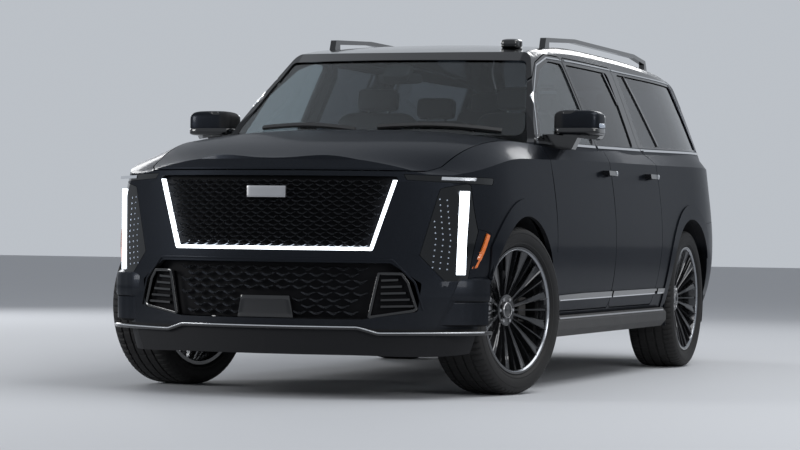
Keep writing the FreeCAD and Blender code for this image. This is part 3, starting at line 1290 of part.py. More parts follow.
def knuckle(side_name, sign):
    """A front wheel's carrier: hub, stub, upright on the kingpin line, steering arm and brake caliper."""
    name = side_name + "_knuckle"
    outward = Vector(0, sign, 0)
    inner_y = BRAKE_Y - RUNNING - size("knuckle_length")
    hub = cylinder(name + "_hub", Vector(FRONT_AXLE, sign * inner_y, AXLE_Z), outward, "sizes.knuckle_radius",
                   "sizes.knuckle_length")
    stub = cylinder(name + "_stub", Vector(FRONT_AXLE, sign * inner_y, AXLE_Z), outward, "sizes.stub_radius",
                    "sizes.knuckle_length + sizes.running_gap - sizes.seat_gap")
    half = size("upright_radius")
    upright = brick(name + "_upright", Vector(FRONT_AXLE - half, sign * KINGPIN_Y - half, AXLE_Z - ARM_LIFT),
                    "2 * sizes.upright_radius", "2 * sizes.upright_radius", "2 * sizes.arm_lift")
    arm = brick(name + "_arm", Vector(FRONT_AXLE - size("tie_arm"), sign * KINGPIN_Y - size("arm_radius"),
                                      AXLE_Z - ARM_LIFT / 2), "sizes.tie_arm", "2 * sizes.arm_radius",
                "sizes.arm_radius")
    leg_y = BRAKE_Y - RUNNING - size("caliper_width")
    span = size("caliper_width") + size("disc_thickness") + 2 * RUNNING + size("caliper_leg")
    outer_y = leg_y + span
    low = AXLE_Z - size("caliper_height") / 2
    rear_x = FRONT_AXLE - size("caliper_reach")

    def across(y_low, y_high):
        return y_low if sign > 0 else -y_high

    inner_leg = brick(name + "_caliper_body", Vector(rear_x, across(leg_y, leg_y + size("caliper_width")), low),
                      "sizes.caliper_reach - sizes.stub_radius", "sizes.caliper_width", "sizes.caliper_height")
    bridge = brick(name + "_caliper_bridge", Vector(rear_x, across(leg_y, outer_y), low),
                   "sizes.caliper_reach - sizes.disc_radius - sizes.running_gap",
                   "sizes.caliper_width + sizes.disc_thickness + 2 * sizes.running_gap + sizes.caliper_leg",
                   "sizes.caliper_height")
    outer_leg = brick(name + "_caliper_leg", Vector(rear_x, across(outer_y - size("caliper_leg"), outer_y), low),
                      "sizes.caliper_reach - sizes.disc_radius + sizes.caliper_width", "sizes.caliper_leg",
                      "sizes.caliper_height")
    thing = fused(name, [hub, stub, upright, arm, inner_leg, bridge, outer_leg])
    thing.Placement = steered(sign)
    return thing


for side_name, (sign, _) in WHEEL_SIDES.items():
    node(knuckle(side_name, sign))

STEERING_SPOKES = [0, 90, 270]
FORWARD = Vector(1, 0, 0)


def steering_wheel():
    """A ring, a round pad and three spokes, square to the column."""
    half = "sizes.steering_grip * 0.414"
    middle = "sizes.steering_wheel_radius - sizes.steering_grip"
    ring = turned("steering_ring", [
        ("-" + half, middle + " - sizes.steering_grip"), ("-sizes.steering_grip", middle + " - " + half),
        ("-sizes.steering_grip", middle + " + " + half), ("-" + half, middle + " + sizes.steering_grip"),
        (half, middle + " + sizes.steering_grip"), ("sizes.steering_grip", middle + " + " + half),
        ("sizes.steering_grip", middle + " - " + half), (half, middle + " - sizes.steering_grip")])
    ring.Placement = Placement(Vector(0, 0, 0), Rotation(FORWARD, 90))
    pad = cylinder("steering_pad", Vector(0, 0, -size("steering_grip")), UPRIGHT, "4 * sizes.steering_grip",
                   "2 * sizes.steering_grip")
    spokes = []
    for angle in STEERING_SPOKES:
        spoke = brick("steering_spoke_%d" % angle, Vector(0, 0, 0), "sizes.steering_wheel_radius - sizes.steering_grip",
                      "2 * sizes.steering_grip", "sizes.steering_grip")
        turn = Rotation(UPRIGHT, angle)
        spoke.Placement = Placement(turn.multVec(Vector(0, -size("steering_grip"), -size("steering_grip") / 2)), turn)
        spokes.append(spoke)
    thing = fused("steering_wheel", [ring, pad] + spokes)
    thing.Placement = Placement(wheel_hub, Rotation(UPRIGHT, column_axis * -1))
    return thing


node(steering_wheel())


WISHBONE_SHARES = [(-1, 0), (1, 0), (0.85, 0.12), (0.26, 0.86), (0.2, 1.09), (-0.2, 1.09), (-0.26, 0.86), (-0.85, 0.12)]
WISHBONE_HOLE_SHARES = [(-0.55, 0.16), (0.55, 0.16), (0.36, 0.56), (-0.36, 0.56)]
SPRING_AT_SHARE = 0.53


def wishbone(sign, z_low):
    """A suspension arm seen in plan: two legs from the frame that meet at the kingpin line."""
    start = rail_high + SEAT
    reach = KINGPIN_Y - start
    spread = size("arm_spread") + size("arm_radius")

    def plan(shares):
        return [(FRONT_AXLE + x * spread, sign * (start + y * reach)) for x, y in shares]

    plate = prism("XY", plan(WISHBONE_SHARES), z_low, z_low + size("arm_thickness"), size("arm_radius"))
    return plate.cut(prism("XY", plan(WISHBONE_HOLE_SHARES), z_low, z_low + size("arm_thickness"), size("arm_radius")))


def front_corner(sign):
    """One side's arms and the coil spring on its damper, which stands on the lower arm through the upper one."""
    low_z = AXLE_Z - ARM_LIFT - SEAT - size("arm_thickness")
    spring_y = sign * size("spring_y")
    foot = Vector(FRONT_AXLE, spring_y, low_z + size("arm_thickness"))
    seat_z = foot.z + size("joint_height")
    cap_z = size("tower_height") - size("tower_shelf") - SEAT
    pad = block(FRONT_AXLE - size("arm_spread") / 2, FRONT_AXLE + size("arm_spread") / 2,
                min(spring_y, sign * KINGPIN_Y * 0.87) if sign > 0 else -KINGPIN_Y * 0.87,
                KINGPIN_Y * 0.87 if sign > 0 else spring_y, low_z, foot.z)
    lower = wishbone(sign, low_z).fuse([pad, rod(foot - UPRIGHT * SEAT, Vector(foot.x, foot.y, seat_z + SEAT), size("arm_radius")),
                                        rod(Vector(foot.x, foot.y, seat_z), Vector(foot.x, foot.y, cap_z),
                                            size("spring_radius"))])
    return [lower, wishbone(sign, AXLE_Z + ARM_LIFT + SEAT)]


cross_x = along(CROSS_SHARES[1][0]) + size("cross_depth") / 2
rack_z = up(CROSS_SHARES[1][1]) - SEAT - size("rack_radius")
rack = rod(Vector(cross_x, -rail_low, rack_z), Vector(cross_x, rail_low, rack_z), size("rack_radius"))
corners = front_corner(1) + front_corner(-1)
panel("front_suspension", Part.makeCompound(corners + [rack]))


def rear_axle():
    """The rear beam axle: tube, final drive, hub flanges and stubs, springs and trailing arms."""
    tube_y = BRAKE_Y - RUNNING
    pieces = [link("axle_beam", Vector(REAR_AXLE, -tube_y, AXLE_Z), Vector(REAR_AXLE, tube_y, AXLE_Z),
                   "sizes.axle_tube"),
              link("axle_stub", Vector(REAR_AXLE, -BRAKE_Y + SEAT, AXLE_Z), Vector(REAR_AXLE, BRAKE_Y - SEAT, AXLE_Z),
                   "sizes.stub_radius"),
              ball("final_drive", Vector(REAR_AXLE, 0, AXLE_Z), "sizes.diff_radius")]
    spring_top = up(RAIL_SHARES_XZ[4][1]) - SEAT
    perch = size("rear_spring_radius")
    for side_name, (sign, _) in WHEEL_SIDES.items():
        flange_y = sign * (tube_y - size("caliper_width"))
        pieces.append(cylinder(side_name + "_rear_flange", Vector(REAR_AXLE, flange_y, AXLE_Z), Vector(0, sign, 0),
                               "sizes.knuckle_radius", "sizes.caliper_width"))
        spring_y = sign * size("frame_rail_y")
        pieces.append(brick(side_name + "_spring_perch", Vector(REAR_AXLE - perch, spring_y - perch, AXLE_Z),
                            "2 * sizes.rear_spring_radius", "2 * sizes.rear_spring_radius",
                            "sizes.axle_tube + sizes.arm_radius"))
        pieces.append(link(side_name + "_rear_spring", Vector(REAR_AXLE, spring_y, AXLE_Z + size("axle_tube")),
                           Vector(REAR_AXLE, spring_y, spring_top), "sizes.rear_spring_radius"))
        pieces.append(brick(side_name + "_trailing_arm",
                            Vector(REAR_AXLE, min(sign * (rail_high + SEAT), sign * (rail_high + SEAT + size("pivot_radius"))),
                                   AXLE_Z - size("arm_radius")),
                            "sizes.trailing_place", "sizes.pivot_radius", "2 * sizes.arm_radius"))
    return fused("rear_suspension", pieces)


node(rear_axle())


def pipe_run(points, radius, bend):
    """A round pipe along straight runs joined by tangent arcs."""
    edges = []
    last = points[0]
    for back, here, ahead in zip(points, points[1:], points[2:]):
        before = (back - here).normalize()
        after = (ahead - here).normalize()
        half_turn = before.getAngle(after) / 2
        reach = min(bend / math.tan(half_turn), 0.45 * (back - here).Length, 0.45 * (ahead - here).Length)
        real = reach * math.tan(half_turn)
        middle = here + (before + after).normalize() * (real / math.sin(half_turn) - real)
        edges.append(Part.makeLine(last, here + before * reach))
        last = here + after * reach
        edges.append(Part.Arc(here + before * reach, middle, last).toShape())
    edges.append(Part.makeLine(last, points[-1]))
    path = Part.Wire(edges)
    profile = Part.Wire(Part.makeCircle(radius, points[0], points[1] - points[0]))
    return path.makePipeShell([profile], True, False)


def exhaust():
    """The exhaust: a pipe from the engine's right side, converter, muffler and tail pipe over the axle."""
    y = -size("exhaust_y")
    z = size("exhaust_height")
    engine_y = -size("engine_width") / 2 - SEAT
    run_y = (engine_y - rail_low) / 2
    start_x = engine_rear + size("arm_spread")
    over_z = AXLE_Z + size("axle_tube") + 2 * size("exhaust_radius")
    out_y = -size("tail_pipe_y")
    low_z = size("driveline_height") - size("exhaust_radius")
    converter_x = gearbox_end + size("engine_width")
    muffler_x = along(-0.675)
    muffler_end = muffler_x - size("console_length") / 2
    points = [Vector(start_x, engine_y, z + size("cross_depth") + size("pivot_radius")),
              Vector(start_x, run_y, z + size("cross_depth") + size("pivot_radius")),
              Vector(start_x - size("cross_depth") * 2, run_y, z), Vector(converter_x, y, z),
              Vector(muffler_end - size("cross_depth"), y, z),
              Vector(REAR_AXLE + 2 * size("cross_depth"), y - size("arm_radius"), over_z),
              Vector(REAR_AXLE - size("diff_radius"), y - size("arm_radius"), over_z),
              Vector(REAR_AXLE - size("diff_radius") - size("cross_depth"), -rail_low, low_z),
              Vector(along(-1.25), out_y, low_z), Vector(along(-1.74), out_y, low_z),
              Vector(along(-1.83), out_y, up(0.24))]
    pipe = pipe_run(points, size("exhaust_radius"), size("cross_depth"))
    converter = rod(Vector(converter_x - size("overrun"), y, z), Vector(gearbox_end, y, z), size("converter_radius"))
    muffler = rod(Vector(muffler_x, y, z), Vector(muffler_end, y, z), size("muffler_radius"))
    return pipe.fuse([converter, muffler])


panel("exhaust", exhaust())
tank = brick("fuel_tank", Vector(FRONT_AXLE - size("tank_place") - size("tank_length"), rail_high + SEAT,
                                 size("tank_floor")), "sizes.tank_length", "sizes.tank_width", "sizes.tank_height")
node(tank)
spare_x = FRONT_AXLE - size("spare_place")
spare = cylinder("spare_disc", Vector(spare_x, 0, size("spare_floor")), UPRIGHT, "sizes.spare_radius",
                 "sizes.spare_width")
hanger = link("spare_hanger", Vector(spare_x, 0, size("spare_floor")), Vector(spare_x, 0, size("cargo_floor") - SEAT),
              "sizes.arm_radius")
node(fused("spare_wheel", [spare, hanger]))

# Door handles: a grip on two feet that stand on the door's skin
HANDLE_SHARES = {"front": (-0.4547, 0.904), "rear": (-0.7259, 0.9065)}


def door_handle(which):
    """A left door's handle, with room for fingers behind its grip."""
    place, height = HANDLE_SHARES[which]
    low_x = along(place) - size("handle_length") / 2
    low_z = up(height) - size("handle_height") / 2
    bar = block(low_x, low_x + size("handle_length"), 0, REACH / 4, low_z, low_z + size("handle_height"))
    outer = body_loft(-size("handle_proud"), 0)
    grip = bar.common(outer).cut([OUTER_LOFT])
    room = block(low_x + size("handle_foot"), low_x + size("handle_length") - size("handle_foot"), 0, REACH / 4,
                 low_z - SEAT, low_z + size("handle_height") + SEAT)
    room = room.common(body_loft(-(size("handle_proud") - size("handle_grip")), 0))
    return largest(grip.cut(room))


for which in ("front", "rear"):
    handle = door_handle(which)
    panel("left_%s_handle" % which, handle)
    panel("right_%s_handle" % which, mirrored(handle))

doc.recompute()
faults = [thing.Name for thing in doc.Objects if "Invalid" in thing.State or "Error" in thing.State]
faults += [piece.Label for piece in NODES if piece.Shape.isNull() or not piece.Shape.isValid()]
if faults:
    raise RuntimeError("These pieces failed: " + ", ".join(faults))
os.makedirs("parts", exist_ok=True)
for piece in NODES:
    piece.Shape.exportStep("parts/%s.step" % piece.Label)
    print(piece.Label, [round(solid.Volume / 1e6, 2) for solid in piece.Shape.Solids])
print(len(NODES), "pieces")
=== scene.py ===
# %% [markdown]
# # Dressing a full-size SUV
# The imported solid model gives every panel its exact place. This lesson adds what a solid model
# leaves out: lacquer, lit strips, grille blades, spokes, seats and thin bright trim. Everything
# is in metres: +X is forward, +Y is the vehicle's left and +Z is up, with the ground at zero.
# Each finished piece is told which body it rides on, so that a door takes its trim along.

# %% Load the frame
import json
import math

import bmesh
import bpy
import numpy as np
from mathutils import Matrix, Vector


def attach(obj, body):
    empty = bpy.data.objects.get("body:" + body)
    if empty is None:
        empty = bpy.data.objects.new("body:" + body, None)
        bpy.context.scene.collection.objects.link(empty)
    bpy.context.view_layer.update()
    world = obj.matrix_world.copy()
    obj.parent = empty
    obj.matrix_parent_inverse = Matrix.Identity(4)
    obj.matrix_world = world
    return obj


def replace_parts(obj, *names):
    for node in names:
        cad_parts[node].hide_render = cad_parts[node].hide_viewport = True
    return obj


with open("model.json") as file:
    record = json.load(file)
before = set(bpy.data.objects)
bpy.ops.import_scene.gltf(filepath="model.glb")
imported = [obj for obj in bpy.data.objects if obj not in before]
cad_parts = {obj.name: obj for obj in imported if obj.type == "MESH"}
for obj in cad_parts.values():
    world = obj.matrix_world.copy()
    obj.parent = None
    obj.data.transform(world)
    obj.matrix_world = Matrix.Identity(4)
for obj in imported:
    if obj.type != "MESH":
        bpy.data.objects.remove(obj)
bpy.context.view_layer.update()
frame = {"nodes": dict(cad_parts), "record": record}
NODES = frame["nodes"]
SLOT_OF = {row["node"]: row["material_slot"] for row in frame["record"]["subparts"]}
BODY_OF = {node: body for body, members in frame["record"]["behaviour"]["bodies"].items() for node in members}

# %% [markdown]
# ## The places that everything hangs on
# A car's skin is a few long curves: the round nose in plan, the side's bow from sill to belt, and
# the glass leaning in above it. Trim could be placed by hand, panel by panel, but then every
# change of a panel would leave it floating. A small function of whole arrays for each curve lets
# a strip be drawn flat and still land on the curved skin.

# %% Axles and the body's main curves
SIDES = ((1, "left"), (-1, "right"))
REAR_AXLE, AXLE_HEIGHT = -1.492, 0.419
RIM_ACROSS = 0.866
BELT = 1.262
GLASS_FOOT, GLASS_LEAN = 0.930, math.radians(23.5)
NOSE_CENTRE = 1.440
NOSE_HEIGHTS = [0.126, 0.353, 0.492, 1.041, 1.104, 1.146, 1.64]
NOSE_RADII = [1.4109, 1.4256, 1.42854, 1.41972, 1.3962, 1.34916, 1.308]


def nose_x(y, z, lift=0.0):
    """How far forward the nose reaches: its centre plus sqrt(R(z)^2 - y^2), R being the plan radius at a height."""
    radius = np.interp(z, NOSE_HEIGHTS, NOSE_RADII) + lift
    return NOSE_CENTRE + np.sqrt(np.maximum(radius ** 2 - np.square(y), 0.0))


CABIN_X = [-3.03, -2.684, -2.278, -1.773, -0.402, 0.515, 0.893, 1.302, 1.50]
CABIN_TAPER = [0.77, 0.855, 0.945, 0.998, 1.0, 0.975, 0.958, 0.943, 0.94]
BODY_X = [-2.73, -2.333, -1.984, -1.492, 1.37, 1.666, 2.026, 2.356, 2.555]
BODY_HALF = [0.845, 0.956, 1.018, 1.028, 1.028, 1.025, 1.016, 0.979, 0.892]
SIDE_Z = [0.265, 0.480, 0.850, 1.19, 1.26]
SIDE_SPREAD = [0.905, 0.975, 1.0, 0.957, 0.88]


def side_y(x, z):
    """Half width of the skin: plan width times the side's bow below the belt, leaning glass times taper above it."""
    below = np.interp(x, BODY_X, BODY_HALF) * np.interp(z, SIDE_Z, SIDE_SPREAD)
    above = (GLASS_FOOT - (z - BELT) * math.tan(GLASS_LEAN)) * np.interp(x, CABIN_X, CABIN_TAPER)
    return np.where(z > BELT, above, below)


print("nose at the centre:", float(nose_x(0.0, 0.8)), "half width at the doors:", float(side_y(0.5, 0.8)))

# %% [markdown]
# ## Surfaces from arrays
# Each new piece is a grid of points, a function of two parameters. Pushing vertices about by hand
# gives the same mesh once; a formula gives it again at any fineness, and tells the reader what
# the shape is. The grid becomes a mesh in one call, a wall or a bevel comes from a modifier, and
# repeated work, such as hundreds of grille blades, is one array product.

# %% Grid and mesh helpers
FINISHED = []


def grid_faces(rows, columns, wrap_rows=False, wrap_columns=False):
    """Corner numbers of every quad of a grid: each point with its neighbours along both ways."""
    r = np.arange(rows if wrap_rows else rows - 1)
    c = np.arange(columns if wrap_columns else columns - 1)
    r, c = np.meshgrid(r, c, indexing="ij")
    r2, c2 = (r + 1) % rows, (c + 1) % columns
    return np.stack([r * columns + c, r * columns + c2, r2 * columns + c2, r2 * columns + c], -1).reshape(-1, 4)


def mesh_object(name, points, faces, smooth=True):
    """A mesh object at the origin from an array of points and lists of face corners."""
    mesh = bpy.data.meshes.new(name)
    mesh.from_pydata(np.asarray(points, float).reshape(-1, 3).tolist(), [], [list(f) for f in faces])
    mesh.validate()
    mesh.shade_smooth() if smooth else mesh.shade_flat()
    thing = bpy.data.objects.new(name, mesh)
    bpy.context.scene.collection.objects.link(thing)
    return thing


def mirror_y(points):
    """The same points on the other side: y changes its sign."""
    return np.asarray(points, float) * np.array([1.0, -1.0, 1.0])


# %% Modifiers made real, faces turned outwards
def with_modifiers(thing):
    """Makes the modifiers' result the object's own mesh, so that what is shown is what is kept."""
    bpy.context.view_layer.update()
    done = bpy.data.meshes.new_from_object(thing.evaluated_get(bpy.context.evaluated_depsgraph_get()))
    thing.modifiers.clear()
    thing.data = done
    return thing


def outward(thing, sharp=35):
    """Turns all faces outwards after merging doubles, and keeps edges sharper than an angle crisp."""
    work = bmesh.new()
    work.from_mesh(thing.data)
    bmesh.ops.remove_doubles(work, verts=work.verts, dist=1e-6)
    bmesh.ops.recalc_face_normals(work, faces=work.faces)
    work.to_mesh(thing.data)
    work.free()
    thing.data.shade_smooth()
    thing.data.set_sharp_from_angle(angle=math.radians(sharp))
    return thing


# %% What every finished piece is told
def finish_piece(thing, body, look):
    """Gives a piece its look and the body that it rides on, and lists its name among the finished pieces."""
    thing.data.materials.clear()
    thing.data.materials.append(look)
    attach(thing, body)
    FINISHED.append(thing.name)
    return thing


# %% Closed solids from grids
def closed_tube(name, rings, wrap=False):
    """A solid from rings of points (rows of equal length): quads between the rings and a flat face at each end."""
    rings = np.asarray(rings, float)
    rows, columns = rings.shape[:2]
    faces = grid_faces(rows, columns, wrap, True).tolist()
    if not wrap:
        faces += [list(range(columns))[::-1], list(range((rows - 1) * columns, rows * columns))]
    return outward(mesh_object(name, rings, faces))


# %% Even steps and directions along a line
def evenly(path, steps, corners=False):
    """Points at even steps along a polyline, read off its running length; its own corners are added if asked for."""
    path = np.asarray(path, float)
    reach = np.concatenate([[0], np.cumsum(np.linalg.norm(np.diff(path, axis=0), axis=1))])
    at = np.linspace(0, reach[-1], steps)
    at = np.unique(np.concatenate([at, reach])) if corners else at
    return np.stack([np.interp(at, reach, column) for column in path.T], 1)


def tangents(line):
    """Unit directions along a line: central differences, each divided by its own length."""
    along = np.gradient(np.asarray(line, float), axis=0)
    return along / np.linalg.norm(along, axis=1, keepdims=True)


def square_to(line):
    """Unit directions square to a flat line: each tangent (a, b) becomes (-b, a)."""
    along = tangents(line)
    return np.stack([-along[:, 1], along[:, 0]], 1)


# %% A profile carried along a path
def frames_along(path, up):
    """Sideways and upward directions at each point of a path: tangent x up, then sideways x tangent."""
    tangent = tangents(path)
    side = np.cross(tangent, np.broadcast_to(np.asarray(up, float), tangent.shape))
    side /= np.linalg.norm(side, axis=1, keepdims=True)
    return side, np.cross(side, tangent)


def swept(name, path, profile, up=(0, 0, 1), scale=None, wrap=False):
    """A profile of (sideways, upward) points carried along a path; scale swells it from point to point."""
    path, profile = np.asarray(path, float), np.asarray(profile, float)
    side, rise = frames_along(path, up)
    size = np.ones(len(path)) if scale is None else np.asarray(scale, float)
    rings = (path[:, None] + side[:, None] * (profile[None, :, :1] * size[:, None, None])
             + rise[:, None] * (profile[None, :, 1:] * size[:, None, None]))
    return closed_tube(name, rings, wrap)


# %% Round profiles
def circle(radius, count=12):
    """Points round a circle: radius times cosine and sine."""
    turn = np.linspace(0, 2 * np.pi, count, endpoint=False)
    return np.stack([radius * np.cos(turn), radius * np.sin(turn)], 1)


def rounded_box_profile(width, height, corner, steps=3):
    """A rectangle with round corners: a quarter circle at each corner, joined by straight runs."""
    turn = np.linspace(0, np.pi / 2, steps + 1)
    corners = [(width / 2 - corner, height / 2 - corner, 0), (-width / 2 + corner, height / 2 - corner, 1),
               (-width / 2 + corner, -height / 2 + corner, 2), (width / 2 - corner, -height / 2 + corner, 3)]
    return np.concatenate([np.stack([x + corner * np.cos(turn + quarter * np.pi / 2),
                                     y + corner * np.sin(turn + quarter * np.pi / 2)], 1)
                           for x, y, quarter in corners])


# %% Many copies in one product
def repeated(name, shape, faces, places, turns=None):
    """Many copies of one small closed shape: every copy's points are the shape turned by its own matrix, then moved."""
    shape, places = np.asarray(shape, float), np.asarray(places, float)
    turned = np.broadcast_to(shape, (len(places),) + shape.shape) if turns is None else np.einsum(
        "nij,kj->nki", turns, shape)
    points = turned + places[:, None]
    steps = np.arange(len(places)) * len(shape)
    every = [[corner + step for corner in face] for step in steps for face in faces]
    return mesh_object(name, points, every)


print("helpers ready: a 3 x 4 grid has", len(grid_faces(3, 4)), "quads")

# %% [markdown]
# ## Finishes
# A real car shows only a dozen finishes. Three effects turn up in many of them: a fine irregular
# grain, a thin film of dust that gathers low down, and a flake under lacquer. They could be
# painted as pictures, which blur up close. Here each is a node group worked out from the object's
# own coordinates, built once and placed in each material with its own values.

# %% Node group helper
def new_group(name, inputs, outputs):
    """An empty shader node group with named inputs (name, kind, value) and outputs (name, kind)."""
    tree = bpy.data.node_groups.new(name, "ShaderNodeTree")
    for label, kind, value in inputs:
        tree.interface.new_socket(label, in_out="INPUT", socket_type="NodeSocket" + kind).default_value = value
    for label, kind in outputs:
        tree.interface.new_socket(label, in_out="OUTPUT", socket_type="NodeSocket" + kind)
    return tree, tree.nodes.new("NodeGroupInput"), tree.nodes.new("NodeGroupOutput")


def add(tree, kind, links=(), **settings):
    """One node with its settings, fed by (input name or number, output socket) pairs."""
    node = tree.nodes.new("ShaderNode" + kind)
    for key, value in settings.items():
        if key.startswith("in_"):
            spot = int(key[3:]) if key[3:].isdigit() else key[3:].replace("_", " ")
            node.inputs[spot].default_value = value
        else:
            setattr(node, key, value)
    for spot, source in links:
        tree.links.new(source, node.inputs[spot])
    return node


# %% The fine grain of moulded plastic, leather and cast metal
grain, grain_in, grain_out = new_group(
    "fine_grain", [("Scale", "Float", 900.0), ("Even", "Float", 0.4), ("Spread", "Float", 0.1)],
    [("Height", "Float"), ("Roughness", "Float")])
where = add(grain, "TexCoord")
cells = add(grain, "TexVoronoi", [("Vector", where.outputs["Object"]), ("Scale", grain_in.outputs["Scale"])])
cloud = add(grain, "TexNoise", [("Vector", where.outputs["Object"])], in_Scale=7.0, in_Detail=4.0)
spread = add(grain, "Math", [(0, cloud.outputs[0]), (1, grain_in.outputs["Spread"])], operation="MULTIPLY")
total = add(grain, "Math", [(0, spread.outputs[0]), (1, grain_in.outputs["Even"])], operation="ADD")
grain.links.new(cells.outputs["Distance"], grain_out.inputs["Height"])
grain.links.new(total.outputs[0], grain_out.inputs["Roughness"])

# %% Dust that gathers near the road
dust, dust_in, dust_out = new_group(
    "road_dust", [("Top", "Float", 0.5), ("Amount", "Float", 0.25)], [("Mask", "Float")])
where = add(dust, "TexCoord")
axes = add(dust, "SeparateXYZ", [(0, where.outputs["Object"])])
fall = add(dust, "MapRange", [("Value", axes.outputs["Z"]), ("From Min", dust_in.outputs["Top"])], in_From_Max=0.05)
patch = add(dust, "TexNoise", [("Vector", where.outputs["Object"])], in_Scale=3.5, in_Detail=6.0, in_Roughness=0.65)
mixed = add(dust, "Math", [(0, fall.outputs[0]), (1, patch.outputs[0])], operation="MULTIPLY")
scaled = add(dust, "Math", [(0, mixed.outputs[0]), (1, dust_in.outputs["Amount"])], operation="MULTIPLY")
dust.links.new(scaled.outputs[0], dust_out.inputs["Mask"])

# %% Metal flake under the lacquer
flake, flake_in, flake_out = new_group(
    "metal_flake", [("Deep", "Color", (0, 0, 0, 1)), ("Bright", "Color", (1, 1, 1, 1)), ("Scale", "Float", 900.0)],
    [("Color", "Color"), ("Height", "Float")])
where = add(flake, "TexCoord")
flecks = add(flake, "TexVoronoi", [("Vector", where.outputs["Object"]), ("Scale", flake_in.outputs["Scale"])])
tone = add(flake, "SeparateColor", [(0, flecks.outputs["Color"])])
sparse = add(flake, "MapRange", [("Value", tone.outputs[0])], in_From_Min=0.35, in_From_Max=1.0)
tint = add(flake, "Mix", [("Factor", sparse.outputs[0]), (6, flake_in.outputs["Deep"]),
                          (7, flake_in.outputs["Bright"])], data_type="RGBA")
peel = add(flake, "TexNoise", [("Vector", where.outputs["Object"])], in_Scale=160.0, in_Detail=1.0)
flake.links.new(tint.outputs[2], flake_out.inputs["Color"])
flake.links.new(peel.outputs[0], flake_out.inputs["Height"])
print("node groups:", sorted(g.name for g in bpy.data.node_groups))


# %% A new material and its shader
def new_look(name, **sockets):
    """A material with a Principled shader, its plain numbers set on the shader's own sockets."""
    look = bpy.data.materials.new(name)
    look.use_nodes = True
    shader = look.node_tree.nodes["Principled BSDF"]
    for key, value in sockets.items():
        shader.inputs[key.replace("_", " ")].default_value = value
    return look, look.node_tree, shader


# %% Groups, bumps and grained looks
def place_group(tree, source, **values):
    """A node group placed in a material, with its own values."""
    node = tree.nodes.new("ShaderNodeGroup")
    node.node_tree = source
    for key, value in values.items():
        node.inputs[key].default_value = value
    return node


def add_bump(tree, shader, height, strength, distance):
    """A bump from a height into the shader's normal."""
    bump = add(tree, "Bump", [("Height", height)], in_Strength=strength, in_Distance=distance)
    tree.links.new(bump.outputs[0], shader.inputs["Normal"])


DUST = (0.17, 0.16, 0.15, 1)


def moulded(name, color, even, spread, scale, dusty=0.0, depth=0.0002, **sockets):
    """A grained plastic, rubber or metal: its roughness wanders a little and, if asked for, its foot is dusty."""
    look, tree, shader = new_look(name, Base_Color=color, **sockets)
    skin = place_group(tree, grain, Scale=scale, Even=even, Spread=spread)
    tree.links.new(skin.outputs["Roughness"], shader.inputs["Roughness"])
    add_bump(tree, shader, skin.outputs["Height"], 0.35, depth)
    if dusty:
        film = place_group(tree, dust, Top=0.75, Amount=dusty)
        tint = add(tree, "Mix", [("Factor", film.outputs[0])], data_type="RGBA", in_6=color, in_7=DUST)
        tree.links.new(tint.outputs[2], shader.inputs["Base Color"])
    return look


# %% [markdown]
# ## Paint with an inside and a black band
# One panel shows three finishes: satin charcoal metallic outside, dull trim on its inner face and
# gloss black round the windows. Splitting the panel would break its mesh, so the material decides
# by place: the object's own normal against its own position tells inside from outside, and a
# slightly rising line tells the band above the belt. The lacquer is a thin coat over the metallic
# layer, and its edge tint is kept low, because a dark metallic paint stays dark at a glance.
# Below a set height the bumpers take the dull trim grey as well. This is painted shade under the splitter and under the
# rear bumper.

# %% Charcoal paint
CHARCOAL = (0.0060, 0.0072, 0.0098, 1)
FLECK = (0.022, 0.026, 0.034, 1)
TRIM_AND_SHADE_GREY = (0.009, 0.009, 0.010, 1)
GLOSS = (0.0045, 0.0047, 0.0055, 1)


LINE_RISE, LINE_START = 0.018, 1.3014


